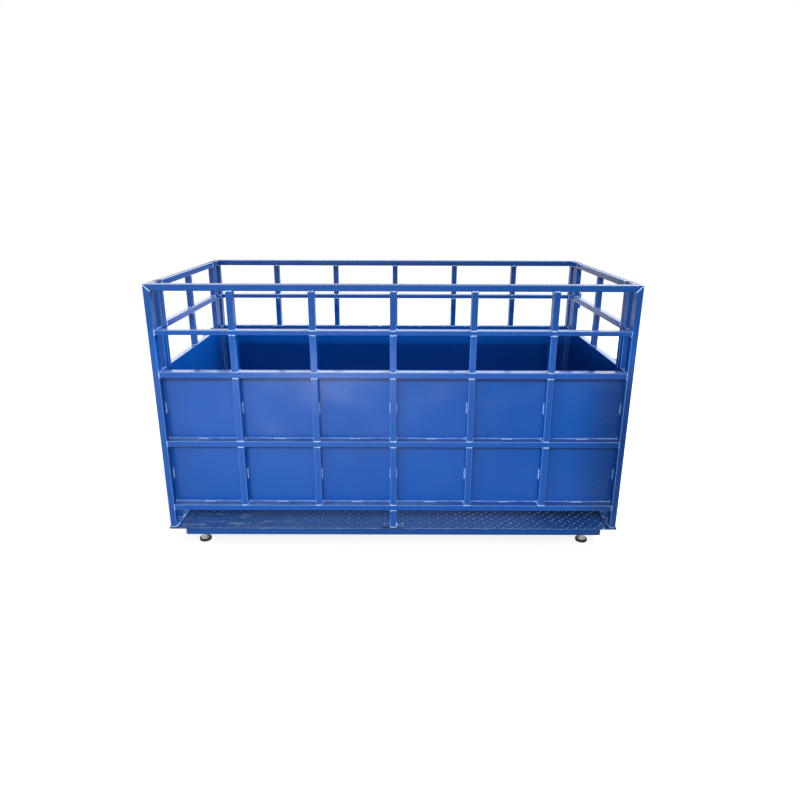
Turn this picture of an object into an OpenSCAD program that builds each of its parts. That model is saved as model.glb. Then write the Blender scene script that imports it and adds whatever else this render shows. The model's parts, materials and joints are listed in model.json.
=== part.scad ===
// Livestock weighing crate: a fenced weighing platform with a gate at each end.
// Origin on the floor under the middle of the deck, X along the crate, Z up.

/* [Crate] */
// Length over the end posts
crate_length = 3000; // [2400:10:3600]
// Width over the two side panels
crate_width = 1580; // [1300:10:1900]
// Height of the side panels above the deck
panel_height = 1630; // [1500:5:1800]
// Number of bays along each side
bay_count = 6; // [4:2:8]

/* [Fence tube] */
// Face width of the fence tube, seen from outside
tube_face = 40; // [34:1:46]
// Depth of the fence tube through the panel
tube_depth = 60; // [50:1:70]
// Wall of every tube
tube_wall = 3; // [2:0.5:4]
// Outside corner radius of every tube
tube_radius = 5; // [4.5:0.5:7]
// Face height of the slim second rail
slim_face = 30; // [25:1:40]
// Thickness of the sheets welded inside the panels and gates
sheet_t = 2; // [1:0.5:4]

/* [Rail heights] */
// Top of the second rail above the middle of the open part over the sheets
second_rail_top = 12.5; // [-60:0.5:80]
// Top of the third rail above the deck, level with the sheets
third_rail_top = 1087; // [900:1:1150]
// Top of the fourth rail above the deck
fourth_rail_top = 626; // [450:1:750]
// Top of the bottom rail above the deck
bottom_rail_top = 172; // [120:1:260]

/* [Platform] */
// Height of the deck above the floor
deck_height = 140; // [125:1:170]
// Thickness of the checker plate deck
deck_t = 5; // [4:0.5:8]
// Deck past the end posts at each end
deck_lip = 7; // [2:1:30]
// Deck past the side panels at the front and at the rear
deck_side_lip = 4; // [2:1:12]
// Distance from the end of the deck to the end of the frame
frame_inset = 107; // [80:1:160]
// Deck edge past the long frame beams
beam_setback = 9; // [4:1:20]
// Height of the frame channel
beam_height = 46; // [44:1:60]
// Flange width of the frame channel
beam_flange = 38; // [30:1:45]
// Wall of the frame channel
beam_wall = 4; // [3:0.5:6]
// Width of a cross beam under the deck
cross_beam_w = 40; // [30:1:60]
// Number of cross beams
cross_beam_count = 5; // [3:1:6]

/* [Base plates] */
// Thickness of the end sills and the stub plates
base_t = 8; // [5:1:12]
// Sill past the inner faces of the end posts
sill_lip = 15; // [5:1:30]
// Length of a stub plate along the panel
stub_plate_l = 140; // [120:1:200]
// Distance between the two bolts of a stub plate
stub_bolt_pitch = 96; // [90:1:110]
// Diameter of an anchor bolt
bolt_d = 12; // [8:1:14]

/* [Load cells and feet] */
// Length of a load cell
cell_l = 130; // [120:1:160]
// Width and height of a load cell
cell_w = 32; // [28:1:36]
// Length of the spacer over the fixed end of a load cell
spacer_l = 64; // [50:1:70]
// Thickness of that spacer
spacer_t = 8; // [4:1:12]
// Foot centre to the end of the deck
foot_from_end = 202; // [180:1:240]
// Foot centre to the side of the deck
foot_from_side = 99; // [89:1:124]
// Diameter of a foot stud
stud_d = 16; // [12:1:18]
// Diameter of a rubber foot pad
pad_d = 80; // [72:1:90]
// Height of a rubber foot pad
pad_h = 18; // [14:1:22]
// Diameter of the steel foot disc
disc_d = 62; // [50:1:64]

/* [Junction box] */
// Length of the junction box
box_l = 140; // [120:1:180]
// Width of the junction box
box_w = 90; // [70:1:120]
// Height of the junction box without its lid
box_h = 34; // [30:1:40]
// Wall of the junction box and thickness of its lid
box_wall = 3; // [2:0.5:5]

/* [Gates] */
// Width of the square tube of the gates and gate posts
gate_tube = 40; // [34:1:46]
// Clear gap between an end post and its gate post
corner_gap = 80; // [50:1:120]
// Gap between a gate and its gate posts
gate_gap = 12; // [9:1:14]
// Gap between the deck and the bottom of a gate
gate_clearance = 40; // [20:1:80]
// Underside of a gate's second rail above that of the panels' second rail
gate_second_rise = 4; // [0:0.5:20]
// Thickness of the plugs in the open tube tops
plug_t = 3; // [2:0.5:6]

/* [Hinges and bolts] */
// Middle of the lower hinges above the deck
lower_hinge_z = 350; // [250:5:420]
// Middle of the upper hinges above the deck
upper_hinge_z = 1325; // [1200:5:1400]
// Diameter of a hinge knuckle
knuckle_d = 28; // [24:1:34]
// Length of a hinge knuckle
knuckle_l = 60; // [40:1:80]
// Diameter of a hinge pin
pin_d = 14; // [10:1:16]
// Thickness of a hinge leaf
leaf_t = 5; // [4:0.5:8]
// Diameter of a slide bolt
slide_d = 16; // [12:1:20]
// Length of a slide bolt
slide_l = 250; // [220:1:320]
// Travel of a slide bolt
slide_travel = 60; // [56:1:64]

/* [Hidden] */
$fn = 48;

// Colours of the finishes
blue = "#2b59ad";
deck_blue = "#36507f";
zinc = "#b9bcc0";
dark_steel = "#3b3a3a";
black = "#1c1c1e";
alloy = "#a9adb2";

// Half sizes of the crate and its deck
half_l = crate_length / 2;
half_w = crate_width / 2;
deck_half_l = half_l + deck_lip;
deck_half_w = half_w + deck_side_lip;
frame_half_l = deck_half_l - frame_inset;
frame_half_w = deck_half_w - beam_setback;
under_deck = deck_height - deck_t;

// Clearances
thread_gap = 0.06;
pin_gap = 0.06;
slide_gap = 0.4;
hole_gap = 0.5;
plug_gap = 0.2;
face_gap = 0.4;
through = 1;

// Fence layout: rails from the bottom up as [underside, face height] above the deck
bay = (crate_length - tube_face) / bay_count;
upright_x = [for (i = [1 : bay_count - 1]) -half_l + tube_face / 2 + i * bay];
bottom_rail = [bottom_rail_top - tube_face, tube_face];
fourth_rail = [fourth_rail_top - tube_face, tube_face];
third_rail = [third_rail_top - tube_face, tube_face];
top_rail = [panel_height - tube_face, tube_face];
open_middle = (third_rail_top + top_rail[0]) / 2;
second_rail = [open_middle + second_rail_top - slim_face, slim_face];
gate_bottom_rail = [gate_clearance, tube_face];
panel_rails = [bottom_rail, fourth_rail, third_rail, second_rail, top_rail];
gate_second_rail = [second_rail[0] + gate_second_rise, gate_tube];
gate_rails = [gate_bottom_rail, fourth_rail, third_rail, gate_second_rail, top_rail];
rail_count = len(panel_rails);
rail_length = crate_length - 2 * tube_face;

// Gate layout: the gate spans from -gate_half to gate_half across the crate
gate_half = half_w - tube_depth - corner_gap - gate_tube - gate_gap;
gate_rail_half = gate_half - gate_tube;
gate_post_y = gate_half + gate_gap;
stile_length = panel_height - plug_t - gate_clearance;
post_length = panel_height - plug_t - base_t;
hinge_y = gate_half + gate_gap / 2;
hinge_out = knuckle_d / 2;
hinge_heights = [lower_hinge_z, upper_hinge_z];
leaf_reach = gate_gap / 2 + gate_tube - tube_radius;
plug_depth = 20;

// Slide bolt layout, measured out from the gate's face and in from its latch edge
slide_z = third_rail_top - tube_face / 2;
slide_standoff = 12;
slide_out = slide_d / 2 + slide_standoff;
slide_set_back = 6;
guide_w = 30;
guide_wall = 5;
guide_collar_d = slide_d + 2 * guide_wall;
guide_base_h = 20;
first_guide = 20;
guide_pitch = 170;
second_guide = first_guide + guide_pitch;
handle_d = 10;
handle_out = 35;
handle_room = 20;
handle_at = first_guide + guide_w + slide_travel + handle_room;
keeper_room = 4;
keeper_hole = slide_d + 2 * keeper_room;
keeper_wall = 8;
keeper_w = gate_tube - 2 * tube_radius;

// Foot layout
foot_x = deck_half_l - foot_from_end;
foot_y = deck_half_w - foot_from_side;
cell_z = under_deck - spacer_t - cell_w;
cell_overhang = 22;
cell_web = 8;
cell_pocket_d = 22;
cell_pocket_depth = (cell_w - cell_web) / 2;
cell_pocket_x = (cell_overhang - cell_l + spacer_l - stud_d / 2) / 2;
cell_bolt_d = 11;
cell_bolt_at = [20, 46];
stud_recess = 3;
stud_top = cell_z + cell_w - stud_recess;
pad_round = 4;
disc_seat = 4;
disc_t = 6;
disc_rim = 5;
cone_h = 8;
collar_h = 12;
collar_d = 27;
collar_step = 1.5;
disc_z = pad_h - disc_seat;

// Hexagons over their corners, and heights of heads and nuts, as shares of the thread
hex_ratio = 1.73;
head_ratio = 0.65;
nut_ratio = 0.8;
nut_h = 10;
nut_d = hex_ratio * stud_d;

// Anchor bolt layout
bolt_head_d = hex_ratio * bolt_d;
bolt_head_h = head_ratio * bolt_d;
bolt_nut_h = nut_ratio * bolt_d;
sill_bolt_x = half_l - tube_face / 2;
sill_bolt_y = half_w - tube_depth - corner_gap / 2;
stub_bolt_x = stub_bolt_pitch / 2;
stub_bolt_y = half_w - tube_depth / 2;

// Cross beams and the junction box between the two right of the middle
cross_pitch = 2 * frame_half_l / (cross_beam_count + 1);
cross_half_l = frame_half_w - beam_flange;
box_x = (cross_beam_count % 2 == 1) ? cross_pitch / 2 : 0;
gland_d = 18;
gland_l = 14;
gland_neck_d = 12;
gland_bore_d = 7;
gland_nut_d = 20;
gland_nut_l = 5;
gland_pitch = 60;
gland_z = under_deck - box_h / 2;

// Rectangle with round corners, from the origin
module rounded_square(w, h, r) {
    translate([r, 0]) square([w - 2 * r, h]);
    translate([0, r]) square([w, h - 2 * r]);
    for (x = [r, w - r], y = [r, h - r]) translate([x, y]) circle(r);
}

// Section of a rectangular tube, from the origin
module tube_section(w, h) {
    difference() {
        rounded_square(w, h, tube_radius);
        translate([tube_wall, tube_wall])
            rounded_square(w - 2 * tube_wall, h - 2 * tube_wall, tube_radius - tube_wall);
    }
}

// Straight tubes along X, Y and Z, each from the origin
module tube_x(l, d, h) rotate([90, 0, 90]) linear_extrude(l) tube_section(d, h);
module tube_y(l, w, h) translate([0, l, 0]) rotate([90, 0, 0]) linear_extrude(l) tube_section(w, h);
module tube_z(l, w, d) linear_extrude(l) tube_section(w, d);

// Solid bar along Y whose outline is drawn in X and Z
module bar_y(l) translate([0, l, 0]) rotate([90, 0, 0]) linear_extrude(l) children();

// Copies at both ends and at both sides
module both_ends() {
    children();
    mirror([1, 0, 0]) children();
}
module both_sides() {
    children();
    mirror([0, 1, 0]) children();
}
module at_rear() mirror([0, 1, 0]) children();
module at_right() rotate([0, 0, 180]) children();
module on_deck() translate([0, 0, deck_height]) children();

// Anchor bolts' holes through the base plates, the deck and the frame
module bolt_hole() cylinder(d = bolt_d + 2 * hole_gap, h = deck_height + base_t + through);
module bolt_holes() both_ends() both_sides() {
    translate([sill_bolt_x, sill_bolt_y, 0]) bolt_hole();
    translate([stub_bolt_x, stub_bolt_y, 0]) bolt_hole();
}

module deck_plate() color(deck_blue) difference() {
    translate([-deck_half_l, -deck_half_w, under_deck]) cube([2 * deck_half_l, 2 * deck_half_w, deck_t]);
    bolt_holes();
}

// Section of the frame channel: web at x = 0, flanges towards +x, from the bottom up
module channel_section() {
    square([beam_wall, beam_height]);
    square([beam_flange, beam_wall]);
    translate([0, beam_height - beam_wall]) square([beam_flange, beam_wall]);
}

// Channel along X at the origin, with its web facing -y and its ends mitred
module mitred_channel(half_length) intersection() {
    translate([-half_length, 0, 0]) rotate([90, 0, 90]) linear_extrude(2 * half_length) channel_section();
    linear_extrude(beam_height) polygon([
        [-half_length, 0], [half_length, 0],
        [half_length - beam_flange, beam_flange], [-half_length + beam_flange, beam_flange]
    ]);
}

module side_beams() color(blue) difference() {
    both_sides() translate([0, -frame_half_w, under_deck - beam_height]) mitred_channel(frame_half_l);
    bolt_holes();
}

module end_beams() color(blue) both_ends()
    translate([frame_half_l, 0, under_deck - beam_height]) rotate([0, 0, 90]) mitred_channel(frame_half_w);

module cross_beams() color(blue)
    for (i = [1 : cross_beam_count]) {
        start = -frame_half_l + i * cross_pitch - cross_beam_w / 2;
        translate([start, -cross_half_l, under_deck - beam_height])
            tube_y(2 * cross_half_l, cross_beam_w, beam_height);
    }

// Places of the four feet, mirrored so that each load cell points to the middle
module at_foot(x_side, y_side) translate([x_side * foot_x, y_side * foot_y, 0])
    mirror([x_side < 0 ? 1 : 0, 0, 0]) children();
module at_each_foot() for (x_side = [-1, 1], y_side = [-1, 1]) at_foot(x_side, y_side) children();

// Shear beam: the free end over the foot, the fixed end bolted up under the deck
module load_cell() difference() {
    translate([cell_overhang - cell_l, -cell_w / 2, cell_z]) cube([cell_l, cell_w, cell_w]);
    translate([0, 0, cell_z - through]) cylinder(d = stud_d + 2 * thread_gap, h = cell_w + 2 * through);
    for (x = cell_bolt_at)
        translate([cell_overhang - cell_l + x, 0, cell_z - through])
            cylinder(d = cell_bolt_d, h = cell_w + 2 * through);
    for (side = [0, 1]) mirror([0, side, 0])
        translate([cell_pocket_x, cell_w / 2 - cell_pocket_depth, cell_z + cell_w / 2])
            rotate([-90, 0, 0]) cylinder(d = cell_pocket_d, h = cell_pocket_depth + through);
}
module load_cells() color(alloy) at_each_foot() load_cell();

module cell_spacers() color(zinc) at_each_foot() difference() {
    translate([cell_overhang - cell_l, -cell_w / 2, cell_z + cell_w]) cube([spacer_l, cell_w, spacer_t]);
    for (x = cell_bolt_at)
        translate([cell_overhang - cell_l + x, 0, cell_z]) cylinder(d = cell_bolt_d, h = deck_height);
}

module foot_nuts() color(zinc) at_each_foot() translate([0, 0, cell_z - nut_h]) difference() {
    cylinder(d = nut_d, h = nut_h, $fn = 6);
    translate([0, 0, -through]) cylinder(d = stud_d + 2 * thread_gap, h = nut_h + 2 * through);
}

// Steel foot: disc, cone, hexagon collar and stud
module foot() color(zinc) {
    translate([0, 0, disc_z]) cylinder(d = disc_d, h = disc_t);
    translate([0, 0, disc_z + disc_t])
        cylinder(d1 = disc_d - 2 * disc_rim, d2 = collar_d + 2 * collar_step, h = cone_h);
    translate([0, 0, disc_z + disc_t + cone_h]) cylinder(d = collar_d, h = collar_h, $fn = 6);
    translate([0, 0, disc_z]) cylinder(d = stud_d, h = stud_top - disc_z);
}

// Rubber pad with a round rim and a seat for the disc
module pad() color(black) rotate_extrude() difference() {
    union() {
        square([pad_d / 2 - pad_round, pad_h]);
        translate([0, pad_round]) square([pad_d / 2, pad_h - 2 * pad_round]);
        for (z = [pad_round, pad_h - pad_round]) translate([pad_d / 2 - pad_round, z]) circle(pad_round);
    }
    translate([0, disc_z]) square([disc_d / 2 + plug_gap, disc_seat + through]);
}
module front_left_foot() at_foot(-1, -1) foot();
module front_right_foot() at_foot(1, -1) foot();
module rear_left_foot() at_foot(-1, 1) foot();
module rear_right_foot() at_foot(1, 1) foot();
module front_left_pad() at_foot(-1, -1) pad();
module front_right_pad() at_foot(1, -1) pad();
module rear_left_pad() at_foot(-1, 1) pad();
module rear_right_pad() at_foot(1, 1) pad();

// Places of the five glands: two on each long side of the box, one on its end
module at_each_gland() {
    for (x = [-gland_pitch / 2, gland_pitch / 2])
        both_sides() translate([box_x + x, box_w / 2, gland_z]) rotate([-90, 0, 0]) children();
    translate([box_x + box_l / 2, 0, gland_z]) rotate([0, 90, 0]) children();
}

// Box hung under the deck, open below, where its lid closes it
module junction_box() color(alloy) difference() {
    translate([box_x - box_l / 2, -box_w / 2, under_deck - box_h]) cube([box_l, box_w, box_h]);
    translate([box_x - box_l / 2 + box_wall, -box_w / 2 + box_wall, under_deck - box_h - through])
        cube([box_l - 2 * box_wall, box_w - 2 * box_wall, box_h - box_wall + through]);
    at_each_gland() translate([0, 0, -box_wall - through])
        cylinder(d = gland_neck_d + 2 * plug_gap, h = box_wall + 2 * through);
}

module junction_box_lid() color(alloy)
    translate([box_x - box_l / 2, -box_w / 2, under_deck - box_h - box_wall]) cube([box_l, box_w, box_wall]);

module cable_glands() color(black) at_each_gland() difference() {
    union() {
        translate([0, 0, -box_wall]) cylinder(d = gland_neck_d, h = box_wall);
        cylinder(d = gland_nut_d, h = gland_nut_l, $fn = 6);
        cylinder(d = gland_d, h = gland_l);
    }
    translate([0, 0, -box_wall - through]) cylinder(d = gland_bore_d, h = box_wall + gland_l + 2 * through);
}

// End sills under the posts and gateways, and the plates under the centre stubs
module base_plates() color(blue) on_deck() difference() {
    union() {
        both_ends() translate([half_l - tube_face - sill_lip, -half_w, 0])
            cube([tube_face + sill_lip + deck_lip, crate_width, base_t]);
        both_sides() translate([-stub_plate_l / 2, -half_w, 0]) cube([stub_plate_l, tube_depth, base_t]);
    }
    translate([0, 0, -deck_height]) bolt_holes();
}

// Bolt with its head on a base plate and its nut under the given stack
module anchor_bolt(stack) translate([0, 0, deck_height + base_t]) {
    cylinder(d = bolt_head_d, h = bolt_head_h, $fn = 6);
    translate([0, 0, -stack - bolt_nut_h]) cylinder(d = bolt_d, h = stack + bolt_nut_h);
    translate([0, 0, -stack - bolt_nut_h]) cylinder(d = bolt_head_d, h = bolt_nut_h, $fn = 6);
}
module anchor_bolts() color(zinc) both_ends() both_sides() {
    translate([sill_bolt_x, sill_bolt_y, 0]) anchor_bolt(base_t + deck_t);
    translate([stub_bolt_x, stub_bolt_y, 0]) anchor_bolt(base_t + deck_t + beam_wall);
}

module center_stubs() color(blue) on_deck() both_sides()
    translate([-tube_face / 2, -half_w, base_t]) tube_z(bottom_rail[0] - base_t, tube_face, tube_depth);

// Front panel, which the rear panel mirrors
module panel_posts() color(blue) on_deck() both_ends() intersection() {
    translate([half_l - tube_face, -half_w, base_t]) tube_z(panel_height - base_t, tube_face, tube_depth);
    translate([0, -half_w, 0]) bar_y(tube_depth) polygon([
        [half_l - tube_face, 0], [half_l, 0],
        [half_l, panel_height], [half_l - tube_face, panel_height - tube_face]
    ]);
}
module panel_top_rail() color(blue) on_deck() intersection() {
    translate([-half_l, -half_w, top_rail[0]]) tube_x(crate_length, tube_depth, tube_face);
    translate([0, -half_w, 0]) bar_y(tube_depth) polygon([
        [-half_l, panel_height], [half_l, panel_height],
        [half_l - tube_face, top_rail[0]], [-half_l + tube_face, top_rail[0]]
    ]);
}
module panel_rail(rail) color(blue) on_deck()
    translate([-half_l + tube_face, -half_w, rail[0]]) tube_x(rail_length, tube_depth, rail[1]);
module panel_uprights() color(blue) on_deck()
    for (x = upright_x, i = [0 : rail_count - 2]) {
        start = panel_rails[i][0] + panel_rails[i][1];
        length = panel_rails[i + 1][0] - start;
        translate([x - tube_face / 2, -half_w, start]) tube_z(length, tube_face, tube_depth);
    }
module panel_sheet() color(blue) on_deck()
    translate([-half_l + tube_face, -half_w + tube_depth, bottom_rail[0]])
        cube([rail_length, sheet_t, third_rail_top - bottom_rail[0]]);

module front_posts() panel_posts();
module front_top_rail() panel_top_rail();
module front_second_rail() panel_rail(second_rail);
module front_third_rail() panel_rail(third_rail);
module front_fourth_rail() panel_rail(fourth_rail);
module front_bottom_rail() panel_rail(bottom_rail);
module front_uprights() panel_uprights();
module front_sheet() panel_sheet();
module rear_posts() at_rear() panel_posts();
module rear_top_rail() at_rear() panel_top_rail();
module rear_second_rail() at_rear() panel_rail(second_rail);
module rear_third_rail() at_rear() panel_rail(third_rail);
module rear_fourth_rail() at_rear() panel_rail(fourth_rail);
module rear_bottom_rail() at_rear() panel_rail(bottom_rail);
module rear_uprights() at_rear() panel_uprights();
module rear_sheet() at_rear() panel_sheet();

// Left end, hinged at the front and bolted at the rear, which the right end turns half round
module gate_posts() color(blue) on_deck() both_sides()
    translate([-half_l, gate_post_y, base_t]) tube_z(post_length, gate_tube, gate_tube);
module corner_links() color(blue) on_deck() both_ends() both_sides()
    for (rail = panel_rails)
        translate([-half_l, gate_post_y + gate_tube, rail[0]]) tube_y(corner_gap, gate_tube, rail[1]);

// Plug in the open top of a square tube, with its head flush with the top rails
module tube_plug() {
    inset = tube_wall + plug_gap;
    stem = gate_tube - 2 * inset;
    translate([0, 0, panel_height - plug_t]) linear_extrude(plug_t)
        rounded_square(gate_tube, gate_tube, tube_radius);
    translate([inset, inset, panel_height - plug_t - plug_depth]) linear_extrude(plug_depth)
        rounded_square(stem, stem, tube_radius - tube_wall);
}
module left_post_plugs() both_sides() translate([-half_l, gate_post_y, 0]) tube_plug();
module post_plugs() color(black) on_deck() {
    left_post_plugs();
    at_right() left_post_plugs();
}

// Hinge leaf: a knuckle on the hinge line and a plate on the tube's outer face, towards +y
module hinge_leaf(bore_d) difference() {
    union() {
        cylinder(d = knuckle_d, h = knuckle_l);
        translate([hinge_out - leaf_t, 0, 0]) cube([leaf_t, leaf_reach, knuckle_l]);
    }
    translate([0, 0, -through]) cylinder(d = bore_d, h = knuckle_l + 2 * through);
}

// Lower leaf with its fixed pin, on the gate post
module pin_leaf() {
    mirror([0, 1, 0]) hinge_leaf(pin_d);
    cylinder(d = pin_d, h = 2 * knuckle_l + leaf_t);
}
module at_left_hinges() on_deck() for (z = hinge_heights)
    translate([-half_l - hinge_out, -hinge_y, z]) children();
module left_post_hinge_leaves() at_left_hinges() translate([0, 0, -knuckle_l]) pin_leaf();
module post_hinge_leaves() color(blue) {
    left_post_hinge_leaves();
    at_right() left_post_hinge_leaves();
}
module gate_hinge_leaves() color(blue) at_left_hinges()
    translate([0, 0, face_gap]) hinge_leaf(pin_d + 2 * pin_gap);

module gate_stiles() color(blue) on_deck() both_sides()
    translate([-half_l, gate_rail_half, gate_clearance]) tube_z(stile_length, gate_tube, gate_tube);
module gate_rails_set() color(blue) on_deck() for (rail = gate_rails)
    translate([-half_l, -gate_rail_half, rail[0]]) tube_y(2 * gate_rail_half, gate_tube, rail[1]);
module gate_uprights() color(blue) on_deck() for (i = [0 : rail_count - 2]) {
    start = gate_rails[i][0] + gate_rails[i][1];
    translate([-half_l, -gate_tube / 2, start]) tube_z(gate_rails[i + 1][0] - start, gate_tube, gate_tube);
}
module gate_sheet() color(blue) on_deck()
    translate([-half_l + gate_tube, -gate_half + tube_radius, gate_clearance])
        cube([sheet_t, 2 * (gate_half - tube_radius), third_rail_top - gate_clearance]);
module gate_plugs() color(black) on_deck() both_sides()
    translate([-half_l, gate_rail_half, 0]) tube_plug();

// Line of the slide bolt, running towards +y from the gate's latch edge at y = 0
module at_left_slide() on_deck() translate([-half_l - slide_out, gate_half, slide_z]) children();
module rod_y(d, l) rotate([-90, 0, 0]) cylinder(d = d, h = l);

module bolt_guides() color(blue) at_left_slide() for (at = [first_guide, second_guide])
    translate([0, -at - guide_w, 0]) difference() {
        union() {
            rod_y(guide_collar_d, guide_w);
            translate([0, 0, -guide_base_h / 2]) cube([slide_out, guide_w, guide_base_h]);
        }
        translate([0, -through, 0]) rod_y(slide_d + 2 * slide_gap, guide_w + 2 * through);
    }

// Drawn back at rest, with a round-ended handle that stops between the guides
module slide_bolt() color(dark_steel) at_left_slide() {
    translate([0, -slide_set_back - slide_l, 0]) rod_y(slide_d, slide_l);
    translate([0, -handle_at, 0]) rotate([0, -90, 0]) cylinder(d = handle_d, h = handle_out);
    translate([-handle_out, -handle_at, 0]) sphere(d = handle_d);
}

module left_bolt_keeper() at_left_slide()
    translate([0, gate_gap + gate_tube / 2 - keeper_w / 2, 0]) difference() {
        translate([-keeper_hole / 2 - keeper_wall, 0, -keeper_hole / 2 - keeper_wall])
            cube([keeper_hole / 2 + keeper_wall + slide_out, keeper_w, keeper_hole + 2 * keeper_wall]);
        translate([-keeper_hole / 2, -through, -keeper_hole / 2])
            cube([keeper_hole, keeper_w + 2 * through, keeper_hole]);
    }
module bolt_keepers() color(blue) {
    left_bolt_keeper();
    at_right() left_bolt_keeper();
}

module left_gate_posts() gate_posts();
module left_gate_stiles() gate_stiles();
module left_gate_rails() gate_rails_set();
module left_gate_uprights() gate_uprights();
module left_gate_sheet() gate_sheet();
module left_gate_hinge_leaves() gate_hinge_leaves();
module left_bolt_guides() bolt_guides();
module left_gate_plugs() gate_plugs();
module left_slide_bolt() slide_bolt();
module right_gate_posts() at_right() gate_posts();
module right_gate_stiles() at_right() gate_stiles();
module right_gate_rails() at_right() gate_rails_set();
module right_gate_uprights() at_right() gate_uprights();
module right_gate_sheet() at_right() gate_sheet();
module right_gate_hinge_leaves() at_right() gate_hinge_leaves();
module right_bolt_guides() at_right() bolt_guides();
module right_gate_plugs() at_right() gate_plugs();
module right_slide_bolt() at_right() slide_bolt();

deck_plate();
side_beams();
end_beams();
cross_beams();
load_cells();
cell_spacers();
foot_nuts();
junction_box();
junction_box_lid();
cable_glands();
base_plates();
anchor_bolts();
center_stubs();
front_posts();
front_top_rail();
front_second_rail();
front_third_rail();
front_fourth_rail();
front_bottom_rail();
front_uprights();
front_sheet();
rear_posts();
rear_top_rail();
rear_second_rail();
rear_third_rail();
rear_fourth_rail();
rear_bottom_rail();
rear_uprights();
rear_sheet();
left_gate_posts();
right_gate_posts();
corner_links();
post_plugs();
post_hinge_leaves();
bolt_keepers();
front_left_foot();
front_right_foot();
rear_left_foot();
rear_right_foot();
front_left_pad();
front_right_pad();
rear_left_pad();
rear_right_pad();
left_gate_stiles();
left_gate_rails();
left_gate_uprights();
left_gate_sheet();
left_gate_hinge_leaves();
left_bolt_guides();
left_gate_plugs();
left_slide_bolt();
right_gate_stiles();
right_gate_rails();
right_gate_uprights();
right_gate_sheet();
right_gate_hinge_leaves();
right_bolt_guides();
right_gate_plugs();
right_slide_bolt();
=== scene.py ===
# %% [markdown]
# # A livestock weighing crate
# The real crate is a floor scale with a fence of welded tube round it and a gate at each end. The packed
# model already holds every tube, sheet, hinge and foot at its real size, so this lesson only dresses it:
# paint, checker plate, weld beads and small fasteners. The frame is loaded first, because every later piece
# is placed from it.

# %% Load the frame
import json
import math

import bpy
from mathutils import Matrix, Vector


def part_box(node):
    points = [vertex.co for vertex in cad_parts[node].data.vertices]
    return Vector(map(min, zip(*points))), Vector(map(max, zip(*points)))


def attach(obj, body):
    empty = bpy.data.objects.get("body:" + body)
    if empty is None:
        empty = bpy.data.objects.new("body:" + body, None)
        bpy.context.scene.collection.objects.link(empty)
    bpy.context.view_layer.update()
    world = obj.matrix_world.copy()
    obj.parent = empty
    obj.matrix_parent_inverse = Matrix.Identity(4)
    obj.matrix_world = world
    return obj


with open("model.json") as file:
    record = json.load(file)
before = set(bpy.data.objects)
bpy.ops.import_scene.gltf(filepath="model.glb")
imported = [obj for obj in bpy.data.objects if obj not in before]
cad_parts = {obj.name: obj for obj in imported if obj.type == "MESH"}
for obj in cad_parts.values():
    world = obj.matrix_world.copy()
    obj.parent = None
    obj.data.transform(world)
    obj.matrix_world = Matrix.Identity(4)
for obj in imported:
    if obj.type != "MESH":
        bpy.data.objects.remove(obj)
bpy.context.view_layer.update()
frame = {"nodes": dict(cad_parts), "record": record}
nodes = frame["nodes"]

# %% [markdown]
# ## Camera
# The photograph was taken from a little above head height, looking down at the long side. Its camera was
# fitted to the corners of the fence, so the place, the tilt and the lens below put the render's corners on
# the photograph's corners. The turns are written as matrices, because the order in which they act then
# shows. The plain Standard view keeps a white floor white.

# %% Camera
CAMERA_PLACE = Vector((0.041, -4.567, 2.261))
CAMERA_DOWN = math.radians(17.78)
CAMERA_YAW = math.radians(-0.03)
CAMERA_ROLL = math.radians(0.17)
SENSOR_MM = 36.0
LENS_MM = 28.287
RIGHT_ANGLE = math.radians(90)

camera_data = bpy.data.cameras.new("crate_camera")
camera_data.sensor_width = SENSOR_MM
camera_data.lens = LENS_MM
camera = bpy.data.objects.new("crate_camera", camera_data)
bpy.context.collection.objects.link(camera)
camera.matrix_world = (
    Matrix.Translation(CAMERA_PLACE)
    @ Matrix.Rotation(CAMERA_YAW, 4, "Z")
    @ Matrix.Rotation(RIGHT_ANGLE - CAMERA_DOWN, 4, "X")
    @ Matrix.Rotation(CAMERA_ROLL, 4, "Z")
)
bpy.context.scene.camera = camera
bpy.context.scene.view_settings.view_transform = "Standard"
bpy.context.scene.view_settings.look = "None"
print("camera at", tuple(CAMERA_PLACE))

# %% [markdown]
# ## Helpers for node trees
# Materials, the sky and the repeating pieces are all node trees, and a few small helpers keep them
# readable. The first ones make nodes and fill their sockets, with a link or with a plain value. The others
# each add one common node, or a short chain of them, and hand back its output.

# %% Helpers that make and feed nodes
def add_node(tree, kind, **settings):
    """A new node with its properties set."""
    node = tree.nodes.new(kind)
    for name, value in settings.items():
        setattr(node, name, value)
    return node


def feed(tree, socket, value):
    """Link a socket to another one, or set it to a plain value."""
    if isinstance(value, bpy.types.NodeSocket):
        tree.links.new(value, socket)
    else:
        socket.default_value = value


def wire(tree, node, **inputs):
    """Feed a node's inputs by name, with _ for a space, and hand the node back."""
    for label, value in inputs.items():
        feed(tree, node.inputs[label.replace("_", " ")], value)
    return node


def output_of(tree, kind, **inputs):
    """The first output of a new node whose inputs are fed by name."""
    return wire(tree, add_node(tree, kind), **inputs).outputs[0]


def by_identifier(sockets, identifier):
    """A socket found by its identifier, for nodes that use one name twice."""
    return next(socket for socket in sockets if socket.identifier == identifier)


print("helpers for nodes ready")

# %% Helpers for values and vectors
def calculate(tree, operation, *values):
    """The output of a math node with these inputs."""
    node = add_node(tree, "ShaderNodeMath", operation=operation)
    for socket, value in zip(node.inputs, values):
        feed(tree, socket, value)
    return node.outputs["Value"]


def times(tree, product, *others):
    """The product of two or more values."""
    for value in others:
        product = calculate(tree, "MULTIPLY", product, value)
    return product


def gap_to(tree, value, level):
    """How far a value lies from a level, either way."""
    return calculate(tree, "ABSOLUTE", calculate(tree, "SUBTRACT", value, level))


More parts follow.
